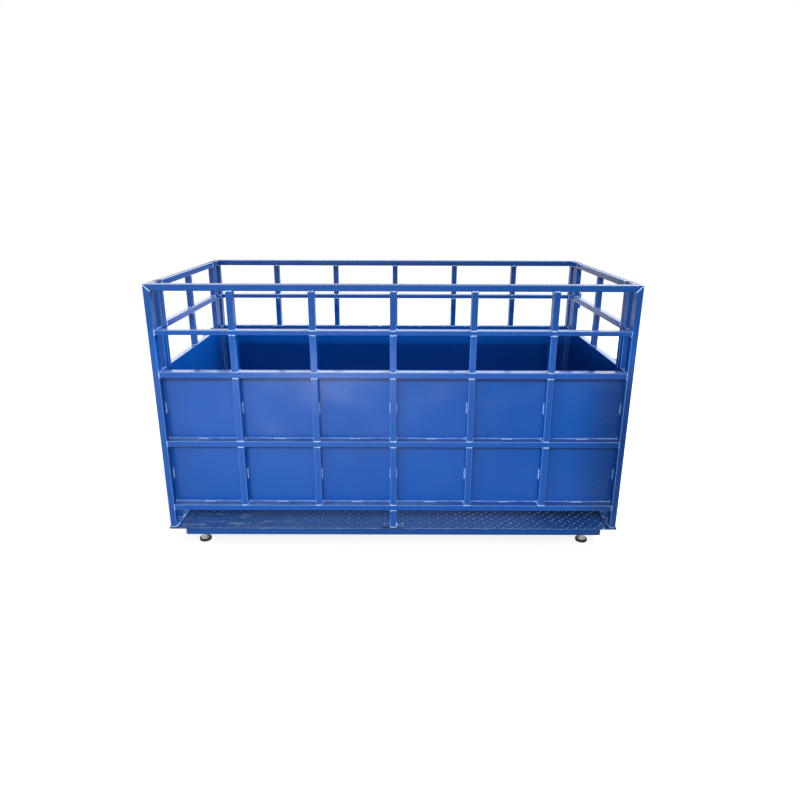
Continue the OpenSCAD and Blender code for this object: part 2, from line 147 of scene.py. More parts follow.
def remap(tree, value, low, high, to_low=0.0, to_high=1.0):
    """A smooth step of a value from one range to another."""
    node = add_node(tree, "ShaderNodeMapRange", interpolation_type="SMOOTHSTEP")
    wire(tree, node, Value=value, From_Min=low, From_Max=high, To_Min=to_low, To_Max=to_high)
    return node.outputs["Result"]


def fade(tree, mask, where_off, where_on):
    """A value that goes smoothly from one number to another with a mask."""
    return remap(tree, mask, 0.0, 1.0, where_off, where_on)


def vector_math(tree, operation, *vectors):
    """The outputs of a math node for vectors with these inputs."""
    node = add_node(tree, "ShaderNodeVectorMath", operation=operation)
    for socket, vector in zip(node.inputs, vectors):
        feed(tree, socket, vector)
    return node.outputs


def split(tree, vector):
    """The X, Y and Z of a vector."""
    return wire(tree, add_node(tree, "ShaderNodeSeparateXYZ"), Vector=vector).outputs


print("helpers for values ready")

# %% Helpers for surfaces, mixes and noise
def surface(tree, output="Object"):
    """The place of a point on its own object, or another output such as its normal."""
    return add_node(tree, "ShaderNodeTexCoord").outputs[output]


def mix(tree, data_type, ending, factor, first, second):
    """The output of a mix node; the sockets of each type of data have their own ending."""
    node = add_node(tree, "ShaderNodeMix", data_type=data_type)
    for identifier, value in (("Factor_Float", factor), ("A" + ending, first), ("B" + ending, second)):
        feed(tree, by_identifier(node.inputs, identifier), value)
    return by_identifier(node.outputs, "Result" + ending)


def choose(tree, mask, where_off, where_on):
    """One of two values, by a mask."""
    return mix(tree, "FLOAT", "_Float", mask, where_off, where_on)


def lay_over(tree, color, *layers):
    """A color with others laid over it in turn, each given as a mask and a color."""
    for mask, over in layers:
        color = mix(tree, "RGBA", "_Color", mask, color, over)
    return color


def noise(tree, where, scale, detail=2.0, roughness=0.5):
    """The value of a noise texture, about 0.5 on average."""
    node = add_node(tree, "ShaderNodeTexNoise")
    wire(tree, node, Vector=where, Scale=scale, Detail=detail, Roughness=roughness)
    return node.outputs["Fac"]


def patches(tree, where, scale, limits, detail=2.0, roughness=0.5):
    """A mask of soft patches: a noise that is stepped between its limits."""
    return remap(tree, noise(tree, where, scale, detail, roughness), *limits)


print("helpers for surfaces ready")

# %% [markdown]
# ## Sky
# Gloss paint shows what is round it. The crate stood in the open: its rail tops mirror a bright sky low
# over the horizon, while its sides mirror the ground. One sky for everything would wash the blue out, so
# the world gives the camera plain white, gives mirror rays a bright band over the horizon, and gives soft
# light a sky that is brighter on the right, and brighter over the right rear and left front corners than
# over the other two.

# %% Sky
WHITE = (1.0, 1.0, 1.0, 1.0)
SKY_SEEN = 1.0
SOFT_RISE = (-0.2, 0.9)
SOFT_LOW, SOFT_HIGH = 0.22, 0.42
SOFT_RIGHT_GAIN, SOFT_CORNER_GAIN = 0.12, 0.36
BAND_RISE, BAND_FALL = (0.28, 0.42), (0.45, 0.85)
BAND_LOW, BAND_HIGH, BAND_ZENITH = 1.9, 2.7, 1.0
SKYLINE_RISE, SKYLINE_FALL, SKYLINE_GLOW = (0.145, 0.195), 0.14, 0.25

world = bpy.data.worlds.new("open_sky")
bpy.context.scene.world = world
world.use_nodes = True
sky = world.node_tree
sky.nodes.clear()
direction = split(sky, surface(sky, "Generated"))
soft = remap(sky, direction["Z"], *SOFT_RISE, SOFT_LOW, SOFT_HIGH)
soft = calculate(sky, "MULTIPLY_ADD", direction["X"], SOFT_RIGHT_GAIN, soft)
corner_wise = times(sky, direction["X"], direction["Y"])
soft = calculate(sky, "MULTIPLY_ADD", corner_wise, SOFT_CORNER_GAIN, soft)
band = remap(sky, direction["Z"], *BAND_RISE, BAND_LOW, BAND_HIGH)
band = remap(sky, direction["Z"], *BAND_FALL, band, BAND_ZENITH)
aside = calculate(sky, "ABSOLUTE", direction["X"])
above = calculate(sky, "MULTIPLY_ADD", aside, SKYLINE_FALL, direction["Z"])
mirrored = choose(sky, remap(sky, above, *SKYLINE_RISE), SKYLINE_GLOW, band)
rays = add_node(sky, "ShaderNodeLightPath").outputs
strength = choose(sky, rays["Is Glossy Ray"], soft, mirrored)
strength = choose(sky, rays["Is Camera Ray"], strength, SKY_SEEN)
background = output_of(sky, "ShaderNodeBackground", Color=WHITE, Strength=strength)
wire(sky, add_node(sky, "ShaderNodeOutputWorld"), Surface=background)
print("sky nodes:", len(sky.nodes))

# %% [markdown]
# ## Lamps
# Four softboxes do the rest. The key hangs high behind the right-hand end, so the left gate's inner sheet
# is bright and the right gate's is dark, as in the photograph. The fill stands high in front on the left;
# it also puts a small bright dot on every weld bead. A wide, narrow strip just above the fence's height
# lays a band of light on the rear sheet, and a low lamp on the left brightens the outer faces. These last
# two would show in the gloss paint, so they are hidden from mirror rays.

# %% Lamps
def softbox(name, place, aim, size, watts):
    """An area lamp at a place, turned towards a point."""
    data = bpy.data.lights.new(name, "AREA")
    data.shape = "RECTANGLE"
    data.size, data.size_y = size
    data.energy = watts
    lamp = bpy.data.objects.new(name, data)
    turn = (Vector(aim) - Vector(place)).to_track_quat("-Z", "Y")
    lamp.matrix_world = Matrix.Translation(place) @ turn.to_matrix().to_4x4()
    bpy.context.collection.objects.link(lamp)
    return lamp


softbox("key_softbox", place=(4.5, 3.0, 6.0), aim=(-0.4, 0.0, 0.9), size=(3.0, 3.0), watts=680)
softbox("fill_softbox", place=(-2.5, -6.5, 5.5), aim=(0.0, -0.8, 0.8), size=(2.5, 2.5), watts=36)
strip_lamp = softbox(
    "strip_softbox", place=(-0.5, -7.5, 1.92), aim=(0.0, 0.0, 1.0), size=(5.0, 0.22), watts=250,
)
low_lamp = softbox("low_softbox", place=(-4.5, -4.5, 0.8), aim=(-0.6, -0.8, 0.5), size=(2.5, 1.2), watts=36)
for lamp in (strip_lamp, low_lamp):
    lamp.visible_glossy = False
print("lamps:", len(bpy.data.lights))

# %% [markdown]
# ## Floor
# The floor looks white to the camera and grey to every other ray, as pale concrete does beside bright
# paint. The paint also mirrors the yard round the crate, so those rays see paler ground in front, a bright
# patch further forward, a dark spot in front on the right, and a yard that grows pale far off, except on
# the right.

# %% Floor
FLOOR_HALF = 40.0
FLOOR_SEEN, FLOOR_GLOW = (0.55, 0.55, 0.55, 1.0), 0.80
FLOOR_GREY, FLOOR_DARK = (0.58, 0.58, 0.59, 1.0), (0.10, 0.10, 0.11, 1.0)
DARK_PLACE, DARK_REACH = (2.4, -2.6, 0.0), 3.6
PATCH_PLACE, PATCH_REACH, PATCH_GLOW = (-1.0, -5.15, 0.0), 1.75, 2.9
APRON_PLACE, APRON_REACH, APRON_GLOW = (-1.0, -2.8, 0.0), 4.2, 0.33
YARD_MIDDLE_Y, YARD_FROM, YARD_FULL, YARD_GLOW = -2.5, 5.5, 11.0, 0.42
YARD_PALE_X, YARD_DARK_X = 0.0, 3.0


def round_spot(tree, where, center, reach, strength=1.0):
    """A round spot that fades from its center outwards."""
    away = vector_math(tree, "DISTANCE", where, center)["Value"]
    return remap(tree, away, 0.0, reach, strength, 0.0)


def matt_ground(tree, color, glow):
    """Matt ground that also gives off some light."""
    both = add_node(tree, "ShaderNodeAddShader")
    feed(tree, both.inputs[0], output_of(tree, "ShaderNodeBsdfDiffuse", Color=color))
    feed(tree, both.inputs[1], output_of(tree, "ShaderNodeEmission", Strength=glow))
    return both.outputs[0]


floor_mesh = bpy.data.meshes.new("floor")
corners = [(x * FLOOR_HALF, y * FLOOR_HALF, 0.0) for x, y in ((-1, -1), (1, -1), (1, 1), (-1, 1))]
floor_mesh.from_pydata(corners, [], [(0, 1, 2, 3)])
floor = bpy.data.objects.new("floor", floor_mesh)
bpy.context.collection.objects.link(floor)

pale_floor = bpy.data.materials.new("pale_floor")
pale_floor.use_nodes = True
tree = pale_floor.node_tree
tree.nodes.clear()
where = surface(tree)
spot = split(tree, where)
dark = round_spot(tree, where, DARK_PLACE, DARK_REACH)
patch = round_spot(tree, where, PATCH_PLACE, PATCH_REACH, PATCH_GLOW)
apron = round_spot(tree, where, APRON_PLACE, APRON_REACH, APRON_GLOW)
yard = remap(tree, gap_to(tree, spot["Y"], YARD_MIDDLE_Y), YARD_FROM, YARD_FULL, 0.0, YARD_GLOW)
yard = times(tree, yard, remap(tree, spot["X"], YARD_PALE_X, YARD_DARK_X, 1.0, 0.0))
glow = calculate(tree, "ADD", calculate(tree, "ADD", patch, apron), yard)
either = add_node(tree, "ShaderNodeMixShader")
feed(tree, either.inputs[0], add_node(tree, "ShaderNodeLightPath").outputs["Is Camera Ray"])
feed(tree, either.inputs[1], matt_ground(tree, lay_over(tree, FLOOR_GREY, (dark, FLOOR_DARK)), glow))
feed(tree, either.inputs[2], matt_ground(tree, FLOOR_SEEN, FLOOR_GLOW))
wire(tree, add_node(tree, "ShaderNodeOutputMaterial"), Surface=either.outputs[0])
floor_mesh.materials.append(pale_floor)
print("floor is", 2 * FLOOR_HALF, "m wide")

# %% [markdown]
# ## Shared effects
# Three effects are used by more than one finish, so each is a shader group that is built once. The paint
# film gives enamel its slow drift of shade, its orange peel, its chips and a pale line on its corners, which
# is a painted highlight where a rounded corner would catch the light, and wear where the corner color given
# is a worn one. The tubes and plates all stand square to the axes, so a corner is simply a place whose normal
# is not along an axis. Faces that look down are painted darker, a painted shade, and their corners have no
# pale line.

# %% Paint film group
COLOR, FLOAT = "NodeSocketColor", "NodeSocketFloat"
FILM_OUTPUTS = {"Color": COLOR, "Roughness": FLOAT, "Height": FLOAT}
DRIFT_SCALE, DRIFT_MIDDLE = 1.6, 0.5
UNDERSIDE_FROM, UNDERSIDE_FULL, UNDERSIDE_SHADE = -0.15, -0.60, 0.30
FLAT_NORMAL, CORNER_NORMAL = 0.99, 0.86
MOTTLE_SCALE, MOTTLE_HIGHLIGHT_AND_WEAR = 38.0, (0.3, 0.6, 0.75, 1.0)
MOTTLE_LIMITS, MOTTLE_DULL = (0.3, 0.7), 0.06
CHIP_SCALE, CHIP_LIMITS = 160.0, (0.70, 0.74)
CHIP_AREA_SCALE, CHIP_AREA_LIMITS = 5.0, (0.55, 0.68)
CHIP_DULL, CHIP_HEIGHT = 0.25, -0.6
PEEL_SCALE = 420.0


def new_group(name, inputs, outputs, kind="ShaderNodeTree"):
    """An empty group with named sockets, and what it is given and has to put out."""
    group = bpy.data.node_groups.new(name, kind)
    for in_out, sockets in (("INPUT", inputs), ("OUTPUT", outputs)):
        for label, socket_type in sockets.items():
            group.interface.new_socket(label, in_out=in_out, socket_type=socket_type)
    return group, add_node(group, "NodeGroupInput").outputs, add_node(group, "NodeGroupOutput").inputs


film_inputs = {"Paint": COLOR, "Corner Paint": COLOR, "Drift": FLOAT, "Wear": FLOAT, "Gloss": FLOAT}
paint_film, given, result = new_group("paint_film", film_inputs, FILM_OUTPUTS)
tree = paint_film
where = surface(tree)
normal = surface(tree, "Normal")
upper = remap(tree, split(tree, normal)["Z"], UNDERSIDE_FULL, UNDERSIDE_FROM)
drift = calculate(tree, "SUBTRACT", noise(tree, where, DRIFT_SCALE, detail=3.0), DRIFT_MIDDLE)
drift = calculate(tree, "MULTIPLY_ADD", drift, given["Drift"], 1.0)
# painted shade: faces that look down are darkened
drift = times(tree, drift, fade(tree, upper, UNDERSIDE_SHADE, 1.0))
shaded = output_of(tree, "ShaderNodeHueSaturation", Color=given["Paint"], Value=drift)
parts = split(tree, vector_math(tree, "ABSOLUTE", normal)["Vector"])
largest = calculate(tree, "MAXIMUM", calculate(tree, "MAXIMUM", parts["X"], parts["Y"]), parts["Z"])
corner = remap(tree, largest, FLAT_NORMAL, CORNER_NORMAL)
mottle = noise(tree, where, MOTTLE_SCALE, detail=3.0)
# painted highlight on corners, and wear where the corner color given is a worn one
corner_highlight_and_wear = times(tree, corner, remap(tree, mottle, *MOTTLE_HIGHLIGHT_AND_WEAR), upper, given["Wear"])
chips = patches(tree, where, CHIP_SCALE, CHIP_LIMITS, detail=1.0)
chips = times(tree, chips, patches(tree, where, CHIP_AREA_SCALE, CHIP_AREA_LIMITS), given["Wear"])
highlight_and_chips = calculate(tree, "MAXIMUM", corner_highlight_and_wear, chips)
feed(tree, result["Color"], lay_over(tree, shaded, (highlight_and_chips, given["Corner Paint"])))
rough = calculate(tree, "MULTIPLY_ADD", remap(tree, mottle, *MOTTLE_LIMITS), MOTTLE_DULL, given["Gloss"])
feed(tree, result["Roughness"], calculate(tree, "MULTIPLY_ADD", chips, CHIP_DULL, rough))
peel = noise(tree, where, PEEL_SCALE, detail=1.0)
feed(tree, result["Height"], calculate(tree, "MULTIPLY_ADD", chips, CHIP_HEIGHT, peel))
print("paint film nodes:", len(tree.nodes))

# %% [markdown]
# Faces that look up get a pale blue layer in patches, thicker at the left-hand end; it is partly settled
# dust and partly a painted sheen for the light those faces catch from above. The group takes a color, lays
# this layer over it by the normal's height, the place and two noises, and also puts out the mask, because the
# layer is matt as well as pale.

# %% Dust and sheen group
DUST_AND_SHEEN_COLOR = (0.31, 0.45, 0.70, 1.0)
DUST_SLOPE = (0.6, 0.95)
DUST_THICK_X, DUST_THIN_X, DUST_THIN = -0.4, 0.9, 0.30
DUST_PATCH_SCALE, DUST_PATCH_LIMITS = 3.2, (0.25, 0.70, 0.25, 1.0)
DUST_GRAIN_SCALE, DUST_GRAIN_LIMITS = 55.0, (0.35, 0.75, 0.6, 1.0)

dust_and_sheen, given, result = new_group(
    "dust_and_sheen", {"Color": COLOR, "Amount": FLOAT}, {"Color": COLOR, "Mask": FLOAT},
)
tree = dust_and_sheen
where = surface(tree)
upward = remap(tree, split(tree, surface(tree, "Normal"))["Z"], *DUST_SLOPE)
along = remap(tree, split(tree, where)["X"], DUST_THICK_X, DUST_THIN_X, 1.0, DUST_THIN)
scuffed = patches(tree, where, DUST_PATCH_SCALE, DUST_PATCH_LIMITS, detail=5.0, roughness=0.62)
grain = patches(tree, where, DUST_GRAIN_SCALE, DUST_GRAIN_LIMITS, detail=4.0, roughness=0.7)
# the pale layer is partly dust and partly a painted sheen on faces that look up
mask = times(tree, scuffed, grain, upward, along, given["Amount"])
feed(tree, result["Color"], lay_over(tree, given["Color"], (mask, DUST_AND_SHEEN_COLOR)))
feed(tree, result["Mask"], mask)
print("settled dust nodes:", len(tree.nodes))

# %% [markdown]
# Bare and plated metal has fine grain and dull spots instead of a paint film. The grain group puts out a
# color that has another shade in the spots, a roughness and a height, and serves zinc plate, cast alloy and
# black steel alike.

# %% Metal grain group
GRAIN_SCALE, GRAIN_DULL = 260.0, 0.12
SPOT_SCALE, SPOT_LIMITS, SPOT_DULL = 26.0, (0.45, 0.75), 0.22

grain_inputs = {"Metal": COLOR, "Spot": COLOR, "Gloss": FLOAT}
metal_grain, given, result = new_group("metal_grain", grain_inputs, FILM_OUTPUTS)
tree = metal_grain
where = surface(tree)
grain = noise(tree, where, GRAIN_SCALE, detail=3.0, roughness=0.7)
spots = patches(tree, where, SPOT_SCALE, SPOT_LIMITS, detail=4.0, roughness=0.6)
feed(tree, result["Color"], lay_over(tree, given["Metal"], (spots, given["Spot"])))
rough = calculate(tree, "MULTIPLY_ADD", spots, SPOT_DULL, given["Gloss"])
feed(tree, result["Roughness"], calculate(tree, "MULTIPLY_ADD", grain, GRAIN_DULL, rough))
feed(tree, result["Height"], grain)
print("metal grain nodes:", len(tree.nodes))

# %% [markdown]
# ## Blue enamel
# All the tubes wear one royal blue gloss enamel. A material starts from the principled shader; the paint film
# feeds its color, roughness and bump, and the numbers that are the same all over sit on the shader's own
# sockets. The top of the fence is painted a darker blue, a painted shade for the weaker light up there, with
# fewer painted corner highlights and less of the pale dust and sheen. Low down at both ends it is painted
# darker still, a painted shade, most of all on the right.

# %% Helpers for materials
PEEL_DEPTH = 0.000012


def new_material(name, specular=0.5, metallic=0.0):
    """A material with its principled shader and output."""
    material = bpy.data.materials.new(name)
    material.use_nodes = True
    tree = material.node_tree
    tree.nodes.clear()
    shader = add_node(tree, "ShaderNodeBsdfPrincipled")
    wire(tree, shader, Specular_IOR_Level=specular, Metallic=metallic)
    wire(tree, add_node(tree, "ShaderNodeOutputMaterial"), Surface=shader.outputs[0])
    return material, tree, shader


def place_group(tree, group, **inputs):
    """The outputs of a group placed in a material, with its inputs fed by name."""
    return wire(tree, add_node(tree, "ShaderNodeGroup", node_tree=group), **inputs).outputs


def bump(tree, shader, height, depth):
    """Add a height, with its depth in metres, to the shader's normal and to any bump that it has already."""
    node = wire(tree, add_node(tree, "ShaderNodeBump"), Height=height, Distance=depth)
    for link in shader.inputs["Normal"].links:
        wire(tree, node, Normal=link.from_socket)
    wire(tree, shader, Normal=node.outputs[0])


def coat(tree, shader, **inputs):
    """A coat of the paint film, which gives the shader its roughness and orange peel."""
    film = place_group(tree, paint_film, **inputs)
    wire(tree, shader, Roughness=film["Roughness"])
    bump(tree, shader, film["Height"], PEEL_DEPTH)
    return film


print("orange peel is", PEEL_DEPTH, "m deep")

# %% Blue enamel
ENAMEL_BLUE, ENAMEL_CORNER_HIGHLIGHT = (0.003, 0.093, 0.44, 1.0), (0.14, 0.38, 0.92, 1.0)
UPPER_SHADE_BLUE = (0.005, 0.076, 0.34, 1.0)
UPPER_SHADE_FROM, UPPER_SHADE_FULL = 1.38, 1.60
PLAIN_WEAR_AND_HIGHLIGHT, UPPER_WEAR_AND_HIGHLIGHT = 0.75, 0.30
PLAIN_DUST_AND_SHEEN, UPPER_DUST_AND_SHEEN = 0.85, 0.5
# painted shade: a darker blue low down at both ends, most at the right-hand one
END_SHADE_BLUE = (0.003, 0.050, 0.235, 1.0)
END_SHADE_FROM, END_SHADE_FULL, END_SHADE_LEFT = 1.15, 1.46, 0.22
END_SHADE_TOP, END_SHADE_LOW = 1.35, 1.05


def end_shade_mask(tree, spot):
    """A mask of painted shade: low down at both ends, more at the right-hand one."""
    right = remap(tree, spot["X"], END_SHADE_FROM, END_SHADE_FULL)
    left = remap(tree, spot["X"], -END_SHADE_FROM, -END_SHADE_FULL, 0.0, END_SHADE_LEFT)
    along = calculate(tree, "MAXIMUM", right, left)
    return times(tree, along, remap(tree, spot["Z"], END_SHADE_TOP, END_SHADE_LOW))


blue_enamel, tree, shader = new_material("blue_enamel")
spot = split(tree, surface(tree))
# painted shade: a darker blue at the top of the fence, with fewer painted corner highlights and less sheen
upper_shade = remap(tree, spot["Z"], UPPER_SHADE_FROM, UPPER_SHADE_FULL)
film = coat(
    tree, shader, Corner_Paint=ENAMEL_CORNER_HIGHLIGHT, Drift=0.25, Gloss=0.13,
    Paint=lay_over(tree, ENAMEL_BLUE, (upper_shade, UPPER_SHADE_BLUE), (end_shade_mask(tree, spot), END_SHADE_BLUE)),
    Wear=fade(tree, upper_shade, PLAIN_WEAR_AND_HIGHLIGHT, UPPER_WEAR_AND_HIGHLIGHT),
)
amount = fade(tree, upper_shade, PLAIN_DUST_AND_SHEEN, UPPER_DUST_AND_SHEEN)
with_dust_and_sheen = place_group(tree, dust_and_sheen, Color=film["Color"], Amount=amount)
wire(tree, shader, Base_Color=with_dust_and_sheen["Color"])
print("made", blue_enamel.name)

# %% [markdown]
# ## Sheet enamel
# The same paint lies on the thin sheets, but welding has pulled them into shallow waves. The waves are far
# too shallow to model, yet they bend reflections, so they are a second height under the orange peel. Where
# the top of a rail meets the sheet behind it, paint has pooled in the corner and dried as a pale line on the
# outer side: along the bottom and fourth rails of the panels and of the gates. Under the third and fourth
# rails the outer side has a dark band, a painted shadow of the rail.

# %% Sheet enamel
WAVE_SCALE, WAVE_DEPTH = 2.6, 0.018
OUTER_LIMITS = (0.3, 0.5)
LEDGE_LINE, LEDGE_PALE = 0.005, (0.22, 0.45, 0.95, 1.0)
LEDGE_PATCH_SCALE, LEDGE_PATCH_LIMITS = 14.0, (0.3, 0.6, 0.45, 0.9)
RAIL_SHADOW_FULL, RAIL_SHADOW_END, RAIL_SHADOW_SHARE = 0.024, 0.042, 0.85
UNDER_RAIL_SHADOW_BLUE = (0.001, 0.020, 0.11, 1.0)

rails = [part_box("front_%s_rail" % name) for name in ("bottom", "fourth", "third", "second", "top")]
bottom_rail, fourth_rail, third_rail, second_rail, top_rail = rails
tube_face = bottom_rail[1].z - bottom_rail[0].z
gate_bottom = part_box("left_gate_rails")[0].z
panel_ledges = [("Y", bottom_rail[1].z), ("Y", fourth_rail[1].z)]
gate_ledges = [("X", gate_bottom + tube_face), ("X", fourth_rail[1].z)]

sheet_enamel, tree, shader = new_material("sheet_enamel")
where = surface(tree)
spot = split(tree, where)
outward = split(tree, vector_math(tree, "MULTIPLY", where, surface(tree, "Normal"))["Vector"])
outer = {axis: remap(tree, outward[axis], *OUTER_LIMITS) for axis in ("X", "Y")}
film = coat(
    tree, shader, Corner_Paint=ENAMEL_CORNER_HIGHLIGHT, Drift=0.35, Wear=0.35, Gloss=0.15,
    Paint=lay_over(tree, ENAMEL_BLUE, (end_shade_mask(tree, spot), END_SHADE_BLUE)),
)
pooled = 0.0
for axis, level in panel_ledges + gate_ledges:
    line = remap(tree, gap_to(tree, spot["Z"], level + LEDGE_LINE / 2), LEDGE_LINE / 2, LEDGE_LINE, 1.0, 0.0)
    pooled = calculate(tree, "MAXIMUM", times(tree, line, outer[axis]), pooled)
pooled = times(tree, pooled, patches(tree, where, LEDGE_PATCH_SCALE, LEDGE_PATCH_LIMITS, detail=3.0))
# painted shadow: a dark band on the sheet just under the third and fourth rails
rail_shadow = 0.0
for rail in (fourth_rail, third_rail):
    under = remap(tree, gap_to(tree, spot["Z"], rail[0].z), RAIL_SHADOW_FULL, RAIL_SHADOW_END, RAIL_SHADOW_SHARE, 0.0)
    rail_shadow = calculate(tree, "MAXIMUM", under, rail_shadow)
rail_shadow = times(tree, rail_shadow, calculate(tree, "ADD", outer["X"], outer["Y"]))
wire(tree, shader, Base_Color=lay_over(tree, film["Color"], (rail_shadow, UNDER_RAIL_SHADOW_BLUE), (pooled, LEDGE_PALE)))
bump(tree, shader, noise(tree, where, WAVE_SCALE, detail=1.0), WAVE_DEPTH)
print("made", sheet_enamel.name)

# %% [markdown]
# ## Deck enamel
# The deck is painted a duller, darker blue that is brighter and bluer towards the right-hand end. Inside
# the fence it is painted much darker, a painted shade where the fence keeps the light off it; at the
# left-hand end boots have scuffed it, and the top of its long edges has a pale line, a painted highlight.
# Each mark is a mask made from the place on the deck, with a noise where the mark is patchy, and the marks
# are laid over the paint in turn.

# %% Deck enamel
DECK_BLUE, DECK_RIGHT_BLUE = (0.007, 0.056, 0.222, 1.0), (0.007, 0.098, 0.400, 1.0)
RIGHT_BLUE_FROM, RIGHT_BLUE_FULL = 0.3, 1.2
DECK_CORNER = (0.16, 0.22, 0.36, 1.0)
DECK_DUST, DUST_DULL = 0.06, 0.5
DECK_INSIDE_SHADE, INSIDE_SHADE_SHARE = (0.003, 0.016, 0.062, 1.0), 0.92
INSIDE_SHADE_FROM, INSIDE_SHADE_FULL = 0.68, 0.54
SCUFF_PALE, SCUFF_SHARE = (0.20, 0.26, 0.40, 1.0), 0.75
SCUFF_FROM, SCUFF_FULL = -0.45, -1.0
SCUFF_STRETCH, SCUFF_TURN, SCUFF_LIMITS = (5.0, 17.0, 1.0), math.radians(24), (0.50, 0.72)
DECK_EDGE_HIGHLIGHT = (0.25, 0.40, 0.80, 1.0)
EDGE_HIGHLIGHT_BAND, EDGE_HIGHLIGHT_INSET, EDGE_HIGHLIGHT_SLOPE = 0.0080, 0.0010, (0.3, 0.7)
EDGE_HIGHLIGHT_SCALE, EDGE_HIGHLIGHT_LIMITS = 9.0, (0.25, 0.6, 0.25, 1.0)

deck_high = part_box("deck_plate")[1]
highlight_edge = deck_high.y - EDGE_HIGHLIGHT_INSET


def deck_shade(tree, spot):
    """The deck's blue, which is brighter and bluer towards the right-hand end."""
    return lay_over(tree, DECK_BLUE, (remap(tree, spot["X"], RIGHT_BLUE_FROM, RIGHT_BLUE_FULL), DECK_RIGHT_BLUE))


def inside_shade_mask(tree, spot, share):
    """A mask of the painted shade inside the fence."""
    return remap(tree, calculate(tree, "ABSOLUTE", spot["Y"]), INSIDE_SHADE_FROM, INSIDE_SHADE_FULL, 0.0, share)


deck_enamel, tree, shader = new_material("deck_enamel", specular=0.35)
where = surface(tree)
spot = split(tree, where)
up = split(tree, surface(tree, "Normal"))["Z"]
paint = deck_shade(tree, spot)
film = coat(tree, shader, Paint=paint, Corner_Paint=DECK_CORNER, Drift=0.5, Wear=0.6, Gloss=0.30)
with_dust_and_sheen = place_group(tree, dust_and_sheen, Color=film["Color"], Amount=DECK_DUST)
turn = (0.0, 0.0, SCUFF_TURN)
strokes = output_of(tree, "ShaderNodeMapping", Vector=where, Rotation=turn, Scale=SCUFF_STRETCH)
scuffs = patches(tree, strokes, 1.0, SCUFF_LIMITS, detail=6.0, roughness=0.6)
scuffs = times(tree, scuffs, remap(tree, spot["X"], SCUFF_FROM, SCUFF_FULL), SCUFF_SHARE)
# painted shade: the deck inside the fence is darkened
inside_shade = inside_shade_mask(tree, spot, INSIDE_SHADE_SHARE)
aside = calculate(tree, "ABSOLUTE", spot["Y"])
# painted highlight: a pale line along the top of the long edges
edge_highlight = times(
    tree, remap(tree, aside, highlight_edge - EDGE_HIGHLIGHT_BAND, highlight_edge), remap(tree, up, *EDGE_HIGHLIGHT_SLOPE),
    patches(tree, where, EDGE_HIGHLIGHT_SCALE, EDGE_HIGHLIGHT_LIMITS, detail=4.0, roughness=0.7),
)
marks = (scuffs, SCUFF_PALE), (inside_shade, DECK_INSIDE_SHADE), (edge_highlight, DECK_EDGE_HIGHLIGHT)
rough = calculate(tree, "MULTIPLY_ADD", with_dust_and_sheen["Mask"], DUST_DULL, film["Roughness"])
wire(tree, shader, Base_Color=lay_over(tree, with_dust_and_sheen["Color"], *marks), Roughness=rough)
print("made", deck_enamel.name)

# %% [markdown]
# The lugs of the checker plate wear the same paint and the same painted shade inside the fence. On the left
# they are dull; towards the right-hand end boots have polished them, so they are glossier there, pale on top,
# which is partly wear and partly a painted highlight, and carry a painted glint on the flank that looks
# forward and to the right.

# %% Lug enamel
LUG_INSIDE_SHADE_SHARE = 0.70
LUG_WORN_HIGHLIGHT, LUG_FLANK_GLINT = (0.15, 0.27, 0.52, 1.0), (0.48, 0.74, 1.0, 1.0)
POLISH_AND_GLINT_FROM, POLISH_AND_GLINT_FULL = 0.2, 1.1
LUG_DULL, LUG_GLOSS = 0.30, 0.10
WORN_SLOPE, WORN_ON_DULL = (0.96, 0.995), 0.15
WORN_SCALE, WORN_LIMITS = 6.0, (0.42, 0.66, 0.05, 0.7)
FLANK_SLOPE = (0.15, 0.4)
FLANK_GLINT_SCALE, FLANK_GLINT_LIMITS = 11.0, (0.40, 0.55, 0.1, 1.0)

lug_enamel, tree, shader = new_material("lug_enamel", specular=1.0)
where = surface(tree)
spot = split(tree, where)
slope = split(tree, surface(tree, "Normal"))
polish_and_glint = remap(tree, spot["X"], POLISH_AND_GLINT_FROM, POLISH_AND_GLINT_FULL)
film = coat(
    tree, shader, Corner_Paint=DECK_BLUE, Drift=0.5, Wear=0.0, Paint=deck_shade(tree, spot),
    Gloss=fade(tree, polish_and_glint, LUG_DULL, LUG_GLOSS),
)
# pale lug tops: partly wear and partly a painted highlight
worn = times(
    tree, remap(tree, slope["Z"], *WORN_SLOPE), fade(tree, polish_and_glint, WORN_ON_DULL, 1.0),
    patches(tree, where, WORN_SCALE, WORN_LIMITS, detail=4.0),
)
flank = remap(tree, calculate(tree, "SUBTRACT", slope["X"], slope["Y"]), *FLANK_SLOPE)
# painted glint on the flank that looks forward and to the right
flank_glint = times(tree, polish_and_glint, flank, patches(tree, where, FLANK_GLINT_SCALE, FLANK_GLINT_LIMITS, detail=3.0))
inside_shade = inside_shade_mask(tree, spot, LUG_INSIDE_SHADE_SHARE)
marks = (inside_shade, DECK_INSIDE_SHADE), (worn, LUG_WORN_HIGHLIGHT), (flank_glint, LUG_FLANK_GLINT)
wire(tree, shader, Base_Color=lay_over(tree, film["Color"], *marks))
print("made", lug_enamel.name)

# %% [markdown]
# ## Frame enamel and painted bolts
# Low on the crate the frame and the foot plates are a darker shade of the same blue, with more painted shade
# low down at both ends, a painted highlight on their corners, and a painted shade along the upright edges of
# the plates. The bolts that hold the plates were painted over with them, and their corners are worn back to
# zinc.

